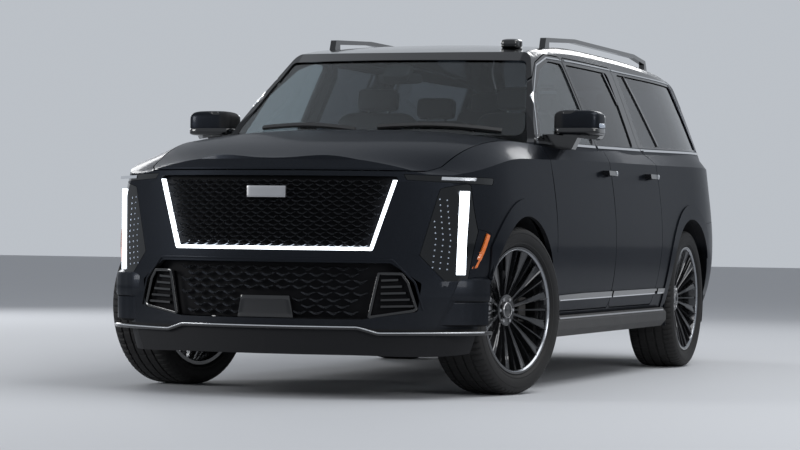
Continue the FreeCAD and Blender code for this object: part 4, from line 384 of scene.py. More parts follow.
def painted(name, band=False, band_end=-9.0, foot=-1.0):
    """Satin metallic lacquer outside, dark trim inside, the same trim grey below a foot height as painted shade, and
    gloss black above the belt.
    """
    look, tree, shader = new_look(name, Coat_IOR=1.42, Coat_Roughness=0.09, Specular_Tint=(0.44, 0.45, 0.47, 1))
    where = add(tree, "TexCoord")
    place = add(tree, "SeparateXYZ", [(0, where.outputs["Object"])])
    facing = add(tree, "SeparateXYZ", [(0, where.outputs["Normal"])])
    across = add(tree, "Math", [(0, place.outputs["Y"]), (1, facing.outputs["Y"])], operation="MULTIPLY")
    inner = add(tree, "MapRange", [("Value", across.outputs[0])], in_From_Min=-0.05, in_From_Max=-0.15)
    under = add(tree, "MapRange", [("Value", facing.outputs["Z"])], in_From_Min=-0.6, in_From_Max=-0.8)
    inside = add(tree, "Math", [(0, inner.outputs[0]), (1, under.outputs[0])], operation="MAXIMUM")
    # Below the foot height the panel also takes the trim grey. This is painted shade for the dark under the splitter
    # and the bumper.
    low = add(tree, "MapRange", [("Value", place.outputs["Z"])], in_From_Min=foot + 0.001, in_From_Max=foot)
    inside = add(tree, "Math", [(0, inside.outputs[0]), (1, low.outputs[0])], operation="MAXIMUM")
    flecks = place_group(tree, flake, Deep=CHARCOAL, Bright=FLECK, Scale=1400.0)
    film = place_group(tree, dust, Top=0.62, Amount=0.16)
    dusty = add(tree, "Mix", [("Factor", film.outputs[0]), (6, flecks.outputs["Color"])], data_type="RGBA",
                in_7=(0.16, 0.155, 0.15, 1))
    outer = dusty.outputs[2]
    rough = add(tree, "MapRange", [("Value", film.outputs[0])], in_To_Min=0.36, in_To_Max=0.8).outputs[0]
    metal = add(tree, "Math", [(1, inside.outputs[0])], operation="SUBTRACT", in_0=0.9)
    if band:
        rise = add(tree, "Math", [(0, place.outputs["X"])], operation="MULTIPLY_ADD",
                   in_1=LINE_RISE, in_2=-LINE_START)
        above = add(tree, "Math", [(0, place.outputs["Z"]), (1, rise.outputs[0])], operation="ADD")
        step = add(tree, "MapRange", [("Value", above.outputs[0])], in_From_Min=-0.001, in_From_Max=0.001)
        ahead = add(tree, "Math", [(0, place.outputs["X"])], operation="GREATER_THAN", in_1=band_end)
        black = add(tree, "Math", [(0, step.outputs[0]), (1, ahead.outputs[0])], operation="MULTIPLY")
        outer = add(tree, "Mix", [("Factor", black.outputs[0]), (6, outer)], data_type="RGBA", in_7=GLOSS).outputs[2]
        rough = add(tree, "Mix", [("Factor", black.outputs[0]), (2, rough)], in_3=0.12).outputs[0]
        metal = add(tree, "Mix", [("Factor", black.outputs[0]), (2, metal.outputs[0])], in_3=0.0)
    tint = add(tree, "Mix", [("Factor", inside.outputs[0]), (6, outer)], data_type="RGBA", in_7=TRIM_AND_SHADE_GREY)
    feel = add(tree, "Mix", [("Factor", inside.outputs[0]), (2, rough)], in_3=0.7)
    shine = add(tree, "MapRange", [("Value", inside.outputs[0])], in_To_Min=0.20, in_To_Max=0.0)
    clean = add(tree, "Clamp", [(0, metal.outputs[0])])
    for source, target in ((tint.outputs[2], "Base Color"), (feel.outputs[0], "Roughness"),
                           (clean.outputs[0], "Metallic"), (shine.outputs[0], "Coat Weight")):
        tree.links.new(source, shader.inputs[target])
    add_bump(tree, shader, flecks.outputs["Height"], 0.04, 0.0004)
    return look


paint = painted("charcoal_paint")
side_paint = painted("charcoal_paint_with_black_band", True, -2.20)
# The bumpers' feet go trim grey as painted shade: below 0.338 m under the front splitter, and below 0.43 m at the rear.
bumper_paint_shaded_foot = painted("charcoal_paint_with_shaded_foot", foot=0.338)
tail_paint_shaded_foot = painted("charcoal_paint_over_shaded_foot", foot=0.430)
print("paint looks:", paint.name, side_paint.name, bumper_paint_shaded_foot.name, tail_paint_shaded_foot.name)

# %% [markdown]
# ## Trim, rubber, metal, leather, lamps and glass
# Most of the other finishes are one plain colour with a grain. Their colour, metal and coat are
# numbers on the shader itself, so that they are kept by any other program, and only the grain's
# roughness and bump, and the dust where there is some, come from the groups. Glass is clear and
# lets light through with a tint: light at the front, dark from the second row back, as cars with
# privacy glass have it. The lit strips give off their own light.

# %% Plastics, rubber, metals and leather
gloss_black, tree, shader = new_look("gloss_black", Base_Color=GLOSS, Coat_Weight=0.6, Coat_Roughness=0.02, IOR=1.5)
skin = place_group(tree, grain, Scale=40.0, Even=0.07, Spread=0.10)
tree.links.new(skin.outputs["Roughness"], shader.inputs["Roughness"])
black_trim = moulded("black_trim", (0.012, 0.012, 0.013, 1), 0.50, 0.15, 1300.0, 0.25)
interior = moulded("interior_trim", (0.020, 0.020, 0.022, 1), 0.52, 0.16, 1500.0)
leather = moulded("leather", (0.028, 0.026, 0.027, 1), 0.38, 0.20, 650.0, depth=0.0006)
leather.node_tree.nodes["Principled BSDF"].inputs["Sheen Weight"].default_value = 0.15
rubber = moulded("tyre_rubber", (0.0085, 0.0085, 0.009, 1), 0.58, 0.20, 420.0, 0.10, depth=0.0004,
                 Specular_IOR_Level=0.3)
cast = moulded("cast_iron", (0.16, 0.155, 0.15, 1), 0.50, 0.25, 260.0, 0.25, depth=0.001, Metallic=0.8)
chassis_black = moulded("chassis_black", (0.014, 0.014, 0.014, 1), 0.42, 0.25, 300.0, 0.5, depth=0.0006)
steel = moulded("brushed_steel", (0.46, 0.46, 0.47, 1), 0.26, 0.14, 120.0, 0.1, Metallic=1.0)
chrome = moulded("bright_trim", (0.74, 0.75, 0.77, 1), 0.07, 0.09, 60.0, Metallic=1.0)
grille_metal = moulded("grille_metal", (0.17, 0.18, 0.20, 1), 0.20, 0.12, 300.0, Metallic=0.9)
# Near-black with little gloss. It is painted shade behind the grille blades and in the intake pods.
grille_shade_black = moulded("grille_shade_black", (0.003, 0.003, 0.004, 1), 0.60, 0.10, 500.0, Specular_IOR_Level=0.12)
spoke_gloss = moulded("spoke_gloss", (0.020, 0.021, 0.024, 1), 0.13, 0.10, 90.0, 0.08, Metallic=0.55, Coat_Weight=0.8,
                      Coat_Roughness=0.03)
rim_edge = moulded("machined_edge", (0.30, 0.31, 0.33, 1), 0.18, 0.10, 90.0, Metallic=1.0)
print("moulded looks made")

# %% Lamps
lit_white = new_look("lit_white", Base_Color=(0.9, 0.93, 0.97, 1), Roughness=0.35,
                     Emission_Color=(0.86, 0.93, 1.0, 1), Emission_Strength=3.2)[0]
lamp_glass = new_look("lamp_dark", Base_Color=(0.004, 0.005, 0.006, 1), Roughness=0.06, IOR=1.38, Coat_Weight=0.15)[0]
lens_red = new_look("lens_red", Base_Color=(0.11, 0.002, 0.004, 1), Roughness=0.12, Coat_Weight=0.5)[0]
lens_amber = new_look("lens_amber", Base_Color=(0.75, 0.17, 0.02, 1), Roughness=0.16, Coat_Weight=0.8)[0]
lamp_point = new_look("lamp_point", Base_Color=(0.62, 0.68, 0.78, 1), Roughness=0.1, Metallic=1.0)[0]
mirror_glass = new_look("mirror_glass", Base_Color=(0.75, 0.78, 0.8, 1), Roughness=0.02, Metallic=1.0)[0]
screen_glow = new_look("screen", Base_Color=(0.01, 0.012, 0.016, 1), Roughness=0.08, Coat_Weight=1.0)[0]
print("lamp looks made")


# %% Glass
def tinted(name, color):
    """Clear glass with a tint: all light passes through, less of it at every crossing."""
    return new_look(name, Base_Color=color, Roughness=0.0, IOR=1.36, Transmission_Weight=1.0)[0]


front_glass = tinted("clear_glass", (0.50, 0.56, 0.58, 1))
rear_glass = tinted("privacy_glass", (0.10, 0.11, 0.125, 1))

# %% Looks for the nodes that stay as the solids have them
LOOKS = {"paint": paint, "gloss_black": gloss_black, "black_trim": black_trim, "interior": interior,
         "leather": leather, "tyre": rubber, "cast": cast, "chassis": chassis_black, "steel": steel,
         "grille_trim": gloss_black, "lamp_dark": lamp_glass, "lamp_red": lens_red, "light_white": lit_white,
         "rim": spoke_gloss, "tinted_glass": rear_glass}
OWN_LOOKS = {"front_bumper": bumper_paint_shaded_foot, "rear_bumper": tail_paint_shaded_foot, "windshield": front_glass,
             "left_front_door_glass": front_glass, "right_front_door_glass": front_glass}
OWN_LOOKS.update({name: side_paint for name in NODES if name.endswith(("_door", "_body_side"))})
for name, thing in NODES.items():
    thing.data.materials.clear()
    thing.data.materials.append(OWN_LOOKS.get(name, LOOKS[SLOT_OF[name]]))
print("looks given to", len(NODES), "nodes:", sorted(set(SLOT_OF.values())))

# %% [markdown]
# ## Camera, floor and light
# The camera stands where the photograph's did, a long lens about thirteen metres from the nose
# and a little below the shoulder line. The floor and the room are pale and plain. Black lacquer
# has no colour of its own to show, only what it mirrors, so big soft lamps are used: each draws
# one broad, soft-edged highlight along the hood, the shoulder or the flank. The room is seen by
# the eye, by gloss and through glass, at a level of its own.

# %% Camera
CAMERA_PLACE = Vector((15.080, 5.052, 0.791))
YAW, PITCH, ROLL = (math.radians(angle) for angle in (19.68, 0.19, 0.74))
forward = Vector((-math.cos(YAW) * math.cos(PITCH), -math.sin(YAW) * math.cos(PITCH), math.sin(PITCH)))
level_right = forward.cross(Vector((0, 0, 1))).normalized()
level_up = level_right.cross(forward)
camera_right = math.cos(ROLL) * level_right + math.sin(ROLL) * level_up
camera_up = camera_right.cross(forward)
lens_data = bpy.data.cameras.new("camera")
lens_data.lens, lens_data.sensor_width, lens_data.clip_end = 124.3, 36.0, 200.0
camera = bpy.data.objects.new("camera", lens_data)
camera.matrix_world = Matrix([(camera_right[k], camera_up[k], -forward[k], CAMERA_PLACE[k]) for k in range(3)]
                             + [(0, 0, 0, 1)])
bpy.context.scene.collection.objects.link(camera)
bpy.context.scene.camera = camera
print("camera at", tuple(CAMERA_PLACE), "looking along", tuple(round(c, 3) for c in forward))

# %% Floor
FLOOR_HALF = 60.0
FLOOR_CORNERS = FLOOR_HALF * np.array([(-1, -1, 0), (1, -1, 0), (1, 1, 0), (-1, 1, 0)])
floor = mesh_object("studio_floor", FLOOR_CORNERS, [(0, 1, 2, 3)], False)
floor.data.materials.append(new_look("floor_paint", Base_Color=(0.60, 0.62, 0.65, 1), Roughness=0.75)[0])
print("floor", 2 * FLOOR_HALF, "m square")

# %% The room round it
world = bpy.data.worlds.new("studio")
bpy.context.scene.world = world
world.use_nodes = True
tree = world.node_tree
tree.nodes.clear()
ray = add(tree, "LightPath")
seen = add(tree, "Math", [(0, ray.outputs["Is Camera Ray"]), (1, ray.outputs["Is Glossy Ray"])], operation="MAXIMUM")
seen = add(tree, "Math", [(0, seen.outputs[0]), (1, ray.outputs["Is Transmission Ray"])], operation="MAXIMUM")
room = add(tree, "Mix", [("Factor", seen.outputs[0])], data_type="RGBA", in_6=(0.30, 0.31, 0.33, 1),
           in_7=(0.50, 0.53, 0.57, 1))
glow = add(tree, "Background", [("Color", room.outputs[2])], in_Strength=1.0)
add(tree, "OutputWorld", [("Surface", glow.outputs[0])])
print("room lit by", len(tree.nodes), "nodes")


# %% Soft lamps
def soft_lamp(name, place, target, width, height, power):
    """A rectangular lamp at a place, turned to a target."""
    data = bpy.data.lights.new(name, "AREA")
    data.shape, data.size, data.size_y, data.energy = "RECTANGLE", width, height, power
    lamp = bpy.data.objects.new(name, data)
    lamp.location = place
    lamp.rotation_euler = (Vector(target) - Vector(place)).to_track_quat("-Z", "Y").to_euler()
    bpy.context.scene.collection.objects.link(lamp)
    return lamp


soft_lamp("overhead", (0.0, 4.6, 7.4), (0.2, 0, 0.4), 10.0, 4.6, 430)
soft_lamp("left_key", (6.5, 8.5, 3.6), (0.8, 0.6, 0.8), 4.2, 2.6, 190)
soft_lamp("right_fill", (6.5, -7.5, 3.2), (2.2, -0.4, 0.8), 3.2, 2.6, 240)
soft_lamp("shoulder_line", (-9.5, 0.2, 5.0), (-1.5, 0.4, 1.0), 2.4, 2.2, 80)
soft_lamp("rear_wash", (-7.5, -8.5, 4.2), (-1.8, -0.3, 0.9), 4.0, 2.6, 230)
bpy.context.scene.view_settings.view_transform = "Standard"
print("studio lit with", len(bpy.data.lights), "lamps")

# %% [markdown]
# ## Trim that lies on the skin
# A bright strip on a car is bent to the panel that carries it, and it stops at every door gap.
# It could be a curve with a bevel, but that sinks into a skin that bows both ways. Here a strip
# starts as a flat ribbon held just off the car, is pressed sideways onto one panel's own mesh,
# loses the faces that missed the panel, and then gets its thickness. The same ribbon is pressed
# onto each panel in turn, so that each length of trim rides with its own door.

# %% Pressing a flat grid onto a panel
PRESS_REACH = 0.07
OFF_SKIN = 0.012
LEAST_MOVE = 1e-5


def pressed(name, grid, axis, target, lift, thickness, reach=PRESS_REACH):
    """A grid moved along one axis onto a panel, lifted off it and given a wall; faces that missed are left out."""
    rows, columns = grid.shape[:2]
    thing = mesh_object(name, grid, grid_faces(rows, columns))
    press = thing.modifiers.new("press", "SHRINKWRAP")
    press.target, press.wrap_method, press.wrap_mode = NODES[target], "PROJECT", "ON_SURFACE"
    press.use_project_x, press.use_project_y, press.use_project_z = axis == 0, axis == 1, axis == 2
    press.use_positive_direction = press.use_negative_direction = True
    press.project_limit = reach
    with_modifiers(thing)
    points = np.empty(rows * columns * 3)
    thing.data.vertices.foreach_get("co", points)
    points = points.reshape(-1, 3)
    flat = np.asarray(grid, float).reshape(-1, 3)
    hit = np.abs(points - flat)[:, axis] > LEAST_MOVE
    points[:, axis] += lift * np.sign(flat[:, axis])
    faces = grid_faces(rows, columns)
    faces = faces[hit[faces].all(1)]
    bpy.data.objects.remove(thing)
    if not len(faces):
        return None
    used, packed = np.unique(faces, return_inverse=True)
    thing = mesh_object(name, points[used], packed.reshape(faces.shape))
    wall = thing.modifiers.new("wall", "SOLIDIFY")
    wall.thickness, wall.offset, wall.use_even_offset = thickness + lift, 0.0, False
    return outward(with_modifiers(thing), 40)


# %% A flat band in side view
def widened(line, width, across):
    """A flat line spread into a band: each point plus its square direction times evenly spaced widths."""
    return line[:, None] + square_to(line)[:, None] * np.linspace(-width / 2, width / 2, across)[None, :, None]


def ribbon(path, width, across=3, steps=60, side=1):
    """A flat strip in side view: a band along (x, z) points, held just off the skin's own width."""
    flat = widened(evenly(path, steps, True), width, across)
    y = (side_y(flat[..., 0], flat[..., 1]) + OFF_SKIN) * side
    return np.stack([flat[..., 0], y, flat[..., 1]], -1)


# %% One strip on both sides
def side_strip(name, path, width, targets, lift, thickness, look, steps=60):
    """One strip of trim on both sides of the car, pressed onto each panel that it crosses."""
    made = []
    for side, word in SIDES:
        for target in targets:
            node = target.replace("SIDE", word)
            label = "%s_%s_%s" % (name, word, target.replace("SIDE_", ""))
            thing = pressed(label, ribbon(path, width, 3, steps, side), 1, node, lift, thickness)
            if thing:
                made.append(finish_piece(thing, BODY_OF[node], look).name)
    print(name, "made", len(made), "lengths")
    return made


# %% Bright lines round the side windows and along the belt
SIDE_PANELS = ["SIDE_front_door", "SIDE_rear_door", "SIDE_body_side"]
WINDOW_LINE = [(1.285, 1.287), (1.075, 1.530), (0.800, 1.712), (0.560, 1.768), (0.10, 1.774), (-0.60, 1.776),
               (-1.60, 1.776), (-2.235, 1.776), (-2.275, 1.745), (-2.345, 1.345)]
BELT_LINE = [(1.285, 1.279), (0.275, 1.287), (-0.775, 1.302), (-1.50, 1.316), (-2.345, 1.332)]
side_strip("window_line", WINDOW_LINE, 0.007, SIDE_PANELS, 0.0028, 0.002, chrome, 130)
side_strip("belt_line", BELT_LINE, 0.013, SIDE_PANELS, 0.0030, 0.002, chrome, 90)

# %% Mouldings low on the doors
MOULDING = [(1.33, 0.470), (0.90, 0.476), (-0.60, 0.478), (-0.90, 0.476)]
side_strip("door_moulding", MOULDING, 0.030, SIDE_PANELS, 0.007, 0.004, gloss_black, 70)
side_strip("door_moulding_line", [(1.30, 0.459), (-0.86, 0.465)], 0.006, SIDE_PANELS, 0.0085, 0.003,
           chrome, 70)

# %% [markdown]
# ## The face
# The nose is one turned surface, so anything on it can be drawn in front view as (y, z) and given
# its depth by the nose's own formula. The grille is hundreds of small waved blades in staggered
# rows, each a thin diamond in section that catches the light on one edge. A bump map would look
# flat from the side and an array modifier can't follow the nose's turn, so one blade is drawn
# once and all its copies are one product of matrices and points.

# %% A patch of the nose
def nose_patch(name, corners, lift, depth, rows=10, columns=6, mirror=False):
    """A plate on the nose: a bilinear grid between four (y, z) corners, lifted off the nose, with its back set in."""
    low_a, low_b, high_b, high_a = (np.asarray(c, float) for c in corners)
    u = np.linspace(0, 1, columns)[None, :, None]
    v = np.linspace(0, 1, rows)[:, None, None]
    flat = (1 - v) * ((1 - u) * low_a + u * low_b) + v * ((1 - u) * high_a + u * high_b)
    y, z = flat[..., 0], flat[..., 1]
    front = np.stack([nose_x(y, z, lift), y, z], -1)
    back = front - np.array([depth, 0, 0])
    n = rows * columns
    quads = grid_faces(rows, columns)
    rim = np.concatenate([np.arange(columns), np.arange(1, rows) * columns + columns - 1,
                          (rows - 1) * columns + np.arange(columns - 2, -1, -1), np.arange(rows - 2, 0, -1) * columns])
    wall = np.stack([rim, np.roll(rim, -1), np.roll(rim, -1) + n, rim + n], 1)
    points = np.concatenate([front.reshape(-1, 3), back.reshape(-1, 3)])
    faces = np.concatenate([quads, quads[:, ::-1] + n, wall])
    if mirror:
        points = mirror_y(points)
    return outward(mesh_object(name, points, faces))


def width_at(z, corners):
    """Half width of a front-view outline at a height, by straight lines between its (half width, z) corners."""
    corners = sorted(corners, key=lambda corner: corner[1])
    return np.interp(z, [c[1] for c in corners], [c[0] for c in corners])


# %% One waved blade
def blade(width, height, depth, dip, stations=9):
    """A blade over u from -1 to 1: its centre dips by a cosine, its diamond section thins with sqrt(1 - u^2)."""
    u = np.linspace(-1, 1, stations)
    centre = -dip * np.cos(u * np.pi) * 0.5
    fullness = np.sqrt(np.maximum(1 - u ** 2, 0.02))
    half, push = height / 2 * fullness, depth * fullness
    y = u * width / 2
    ring = np.stack([np.stack([push, y, centre - half * 0.35], 1), np.stack([0 * u, y, centre + half], 1),
                     np.stack([-depth + 0 * u, y, centre], 1), np.stack([0 * u, y, centre - half], 1)], 1)
    last = 4 * stations - 1
    ends = [[0, 1, 2, 3], [last, last - 1, last - 2, last - 3]]
    return ring.reshape(-1, 3), grid_faces(stations, 4, False, True).tolist() + ends


# %% A field of blades
MOST_COLUMNS = 40
MEAN_NOSE_RADIUS = 1.42


def blade_field(name, outline, rows, pitch, size, inset, margin, skip=None):
    """Staggered rows of blades inside a front-view outline: each blade is turned by asin(y / nose radius)."""
    low, high = min(z for _, z in outline), max(z for _, z in outline)
    step = (high - low - 2 * margin) / rows
    row, column = np.meshgrid(np.arange(rows), np.arange(-MOST_COLUMNS, MOST_COLUMNS + 1), indexing="ij")
    z = (low + margin + step * (row + 0.5)).ravel()
    y = (pitch * (column + 0.5 * (row % 2))).ravel()
    inside = np.abs(y) + size[0] / 2 + margin < width_at(z, outline)
    if skip is not None:
        inside &= ~((np.abs(y) < skip[0]) & (z > skip[1]) & (z < skip[2]))
    y, z = y[inside], z[inside]
    turn = np.arcsin(y / MEAN_NOSE_RADIUS)
    c, s, o, i = np.cos(turn), np.sin(turn), np.zeros_like(turn), np.ones_like(turn)
    turns = np.stack([np.stack([c, -s, o], 1), np.stack([s, c, o], 1), np.stack([o, o, i], 1)], 1)
    places = np.stack([nose_x(y, z, -inset), y, z], 1)
    shape, faces = blade(*size)
    thing = repeated(name, shape, faces, places, turns)
    print(name, len(y), "blades,", len(thing.data.polygons), "faces")
    return outward(thing, 20)


# %% The upper grille and the painted shade behind it
GRILLE = [(0.619, 1.064), (0.510, 0.7105)]
upper = blade_field("upper_grille_blades", GRILLE, 17, 0.058, (0.054, 0.0090, 0.012, 0.009), 0.020, 0.014)
finish_piece(upper, "vehicle", grille_metal)
# Behind the blades, a near-black sheet with little gloss is painted shade for the depth of the grille.
back = nose_patch("upper_grille_back", [(-0.508, 0.712), (0.508, 0.712), (0.617, 1.062), (-0.617, 1.062)],
                  -0.036, 0.008, 12, 24)
finish_piece(back, "vehicle", grille_shade_black)
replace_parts(upper, "grilles")

# %% The lower grille and the painted shade behind it
INTAKE_MESH = [(0.450, 0.385), (0.475, 0.420), (0.520, 0.560), (0.520, 0.650)]
lower = blade_field("lower_grille_blades", INTAKE_MESH, 8, 0.082, (0.074, 0.013, 0.012, 0.012), 0.030, 0.012,
                    (0.150, 0.38, 0.52))
finish_piece(lower, "vehicle", grille_metal)
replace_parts(lower, "grilles")
# Behind the blades, a near-black sheet with little gloss is painted shade for the depth of the intake.
back = nose_patch("lower_grille_back", [(-0.60, 0.386), (0.60, 0.386), (0.62, 0.648), (-0.62, 0.648)],
                  -0.046, 0.008, 8, 24)
finish_piece(back, "vehicle", grille_shade_black)

# %% [markdown]
# ## Lamps
# The upright lamps wrap the front corners: a smoked cover, one tall bar of light, and columns of
# small bright points beside it. The slim lamps above have a bright outer end. The solids give the
# covers, so only the light bars, the points and the ends are added. The bar is a patch of the
# nose with its own glow, which reads as a lit tube without any lamp inside it.

# %% Tall light bars and the slim lamps' ends
LIGHT_BAR = [(0.868, 0.600), (0.902, 0.600), (0.913, 1.000), (0.877, 1.000)]
SLIM_END = [(0.800, 1.052), (0.936, 1.050), (0.938, 1.064), (0.800, 1.067)]


def dome_shape(radius, flat=0.6, rings=5, spokes=8):
    """A small flattened ball: (flat cos u, sin u cos a, sin u sin a) times its radius."""
    u = np.linspace(0, np.pi, rings)[:, None]
    a = np.linspace(0, 2 * np.pi, spokes, endpoint=False)
    ball = np.stack([flat * np.cos(u) + 0 * a, np.sin(u) * np.cos(a), np.sin(u) * np.sin(a)], -1)
    return radius * ball.reshape(-1, 3), grid_faces(rings, spokes, False, True).tolist()


row, column = np.meshgrid(np.arange(13), np.arange(3), indexing="ij")
point_z = (0.625 + row * 0.0275 + 0.004 * column).ravel()
point_y = (0.842 - 0.030 * column - 0.012 * np.abs(row - 5) / 5).ravel()
kept = point_y > width_at(point_z, [(0.775, 0.575), (0.735, 0.700), (0.800, 1.010)])
point_y, point_z = point_y[kept], point_z[kept]
dome, dome_faces = dome_shape(0.0042)
for side, word in SIDES:
    bar = nose_patch("light_bar_" + word, LIGHT_BAR, 0.004, 0.014, 24, 5, side < 0)
    finish_piece(bar, "vehicle", lit_white)
    points = repeated("lamp_points_" + word, dome * np.array([1.0, side, 1.0]), dome_faces,
                      np.stack([nose_x(point_y, point_z, 0.0015), side * point_y, point_z], 1))
    finish_piece(outward(points), "vehicle", lamp_point)
    end = nose_patch("slim_lamp_end_" + word, SLIM_END, 0.003, 0.010, 4, 12, side < 0)
    finish_piece(end, "vehicle", chrome)
print("lamp bars and", len(point_y), "points a side made")

# %% [markdown]
# ## Plates and intake pods
# Two plain plates with rounded edges sit on the face: a metal one high in the grille and a gloss
# black one low in the intake. The pods at both ends of the intake are near-black pans, painted
# shade for the depth of each pod, with five slats and a frame. Each is a patch of the nose again,
# so that all of them keep its curve, and the frame is a small bar carried round the pan's outline.


# %% Two blank plates
def bevelled(thing, width):
    """A plate with its edges rounded by a two-step bevel, made part of its mesh."""
    bevel = thing.modifiers.new("edge", "BEVEL")
    bevel.width, bevel.segments = width, 2
    return outward(with_modifiers(thing))


emblem = nose_patch("blank_emblem", [(-0.100, 0.960), (0.100, 0.960), (0.100, 1.016), (-0.100, 1.016)],
                    0.006, 0.016, 6, 12)
finish_piece(bevelled(emblem, 0.003), "vehicle", steel)
plate = nose_patch("blank_number_panel", [(-0.145, 0.385), (0.145, 0.385), (0.125, 0.492), (-0.125, 0.492)],
                   -0.004, 0.018, 6, 10)
finish_piece(bevelled(plate, 0.004), "vehicle", gloss_black)
print("blank plates made")

# %% Side pods of the intake with slats
POD = [(0.500, 0.392), (0.705, 0.428), (0.640, 0.600), (0.540, 0.600)]
SLAT_FOOT, SLAT_STEP, SLATS = 0.440, 0.031, 5
POD_RIM = np.array([(0.500, 0.400), (0.540, 0.602), (0.640, 0.602), (0.668, 0.560), (0.705, 0.436), (0.690, 0.426),
                    (0.500, 0.394), (0.500, 0.400)])
for side, word in SIDES:
    # The pan is near-black with little gloss. It is painted shade for the depth of the pod.
    pod = nose_patch("intake_pod_" + word, POD, -0.034, 0.010, 10, 10, side < 0)
    finish_piece(pod, "vehicle", grille_shade_black)
    for k in range(SLATS):
        z = SLAT_FOOT + SLAT_STEP * k
        inner, outer = 0.548, 0.690 - 0.55 * (z - SLAT_FOOT)
        slat = nose_patch("intake_slat_%s_%d" % (word, k),
                          [(inner, z), (outer, z + 0.004), (outer, z + 0.014), (inner, z + 0.010)],
                          -0.010 - 0.001 * k, 0.026, 3, 8, side < 0)
        finish_piece(slat, "vehicle", gloss_black)
    y, z = POD_RIM.T
    rim = np.stack([nose_x(y, z, -0.004), side * y, z], 1)
    fine = np.linspace(0, len(rim) - 1, 57)
    rim = np.stack([np.interp(fine, np.arange(len(rim)), column) for column in rim.T], 1)
    frame_bar = swept("intake_pod_frame_" + word, rim[:-1], rounded_box_profile(0.014, 0.010, 0.003),
                      up=(1, 0, 0), wrap=True)
    finish_piece(frame_bar, "vehicle", gloss_black)
print("pods made with", SLATS, "slats each")

# %% The fold round the bumper's intake
FOLD = [(0, 0.668), (0.600, 0.668), (0.700, 0.560), (0.735, 0.430)]
y, z = evenly([(-y, z) for y, z in FOLD[:0:-1]] + FOLD, 90).T
fold = swept("bumper_fold", np.stack([nose_x(y, z, 0.002), y, z], 1), rounded_box_profile(0.006, 0.010, 0.0018))
finish_piece(fold, "vehicle", paint)
print("bumper fold runs from y =", round(float(y[0]), 3), "to", round(float(y[-1]), 3))

# %% [markdown]
# ## Bumper corners and splitter
# The bumper flares out at its corners, below the lamps, and a thin splitter blade runs under it
# and steps down on both sides. Both follow one plan line: the nose's arc, then a tight turn along
# the side as far as the wheel opening. The corner is a skin of rows pushed out from that line by
# a little profile, with its wall from a modifier; the blade is a small section carried along it.

# %% The plan line and the corner pieces
CORNER = [(2.577, 0.860), (2.545, 0.900), (2.508, 0.934), (2.466, 0.960), (2.428, 0.974), (2.394, 0.981)]


ARC_END, BUMPER_HEIGHT = 0.84, 0.45


def plan_line(y_start, steps):
    """Points (x, y) along the bumper's plan from a half width outwards, evenly spaced, with their outward normals."""
    y = np.linspace(y_start, ARC_END, 40)
    line = evenly(np.concatenate([np.stack([nose_x(y, BUMPER_HEIGHT), y], 1), CORNER]), steps)
    return line, -square_to(line)


CORNER_STEPS = 30
line, normal = plan_line(0.735, CORNER_STEPS)
CORNER_ROWS = np.array([(0.352, -0.020), (0.360, -0.007), (0.462, -0.007), (0.470, -0.011), (0.476, -0.001),
                        (0.482, 0.0), (0.566, 0.0), (0.578, -0.005), (0.590, -0.022), (0.598, -0.050)])
row_height, row_push = CORNER_ROWS.T[:, :, None, None]
fade = np.minimum(1.0, np.arange(CORNER_STEPS) / 6.0)[None, :, None]
flat = line[None] + normal[None] * (row_push - 0.016 * (1 - fade))
skin = np.concatenate([flat, np.broadcast_to(row_height, flat.shape[:2] + (1,))], -1)
for side, word in SIDES:
    corner = outward(mesh_object("bumper_corner_" + word, skin * np.array([1, side, 1]),
                                 grid_faces(len(CORNER_ROWS), CORNER_STEPS)))
    wall = corner.modifiers.new("wall", "SOLIDIFY")
    wall.thickness, wall.offset = 0.010, -1.0 if side > 0 else 1.0
    finish_piece(outward(with_modifiers(corner), 25), "vehicle", bumper_paint_shaded_foot)

# %% Splitter blade and its bright edge
line, normal = plan_line(0.0, 70)
height = np.interp(line[:, 1], [0, 0.450, 0.540, 0.981], [0.343, 0.343, 0.316, 0.320])


def along_bumper(name, inset, rise, profile, end, look):
    """A bar along the bumper's plan line on both sides: the plan point less an inset along its normal, raised a bit."""
    half = np.concatenate([line - normal * inset, (height + rise)[:, None]], 1)[line[:, 1] <= end]
    path = np.concatenate([mirror_y(half[::-1]), half[1:]])
    return finish_piece(swept(name, path, profile), "vehicle", look)


splitter = along_bumper("splitter_blade", 0.014, 0.0, rounded_box_profile(0.056, 0.020, 0.006), 1,
                        gloss_black)
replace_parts(splitter, "front_splitter")
along_bumper("splitter_edge", -0.0135, 0.004, rounded_box_profile(0.005, 0.005, 0.001), 0.965, chrome)
print("bumper corners and splitter made")

# %% [markdown]
# ## Wheels
# Each wheel is drawn once in its own plane (across, up, outwards) and carried to its axle by one
# matrix, so the front pair stands steered exactly as the solids do. The lip, the barrel, the hub
# and the tyre are profiles turned about the axle. The twelve broad spokes swell and twist on
# their way out, which is what makes them catch the light one after the other. The tread is not a
# texture: the turned profile's radius drops at every groove, so the blocks stand out in outline.

# %% The four wheel planes
STEERED = (0.235142, 0.971961)
WHEEL_PLACES = {"left_front": ((1.930519, 0.864149), STEERED),
                "right_front": ((1.899481, -0.864149), (-STEERED[0], -STEERED[1])),
                "left_rear": ((REAR_AXLE, RIM_ACROSS), (0.0, 1.0)),
                "right_rear": ((REAR_AXLE, -RIM_ACROSS), (0.0, -1.0))}


def wheel_matrix(wheel):
    """The wheel's centre and the matrix whose columns are its across, up and outward directions."""
    (x, y), (out_x, out_y) = WHEEL_PLACES[wheel]
    return np.array([x, y, AXLE_HEIGHT]), np.array([[-out_y, 0, out_x], [out_x, 0, out_y], [0, 1.0, 0]])


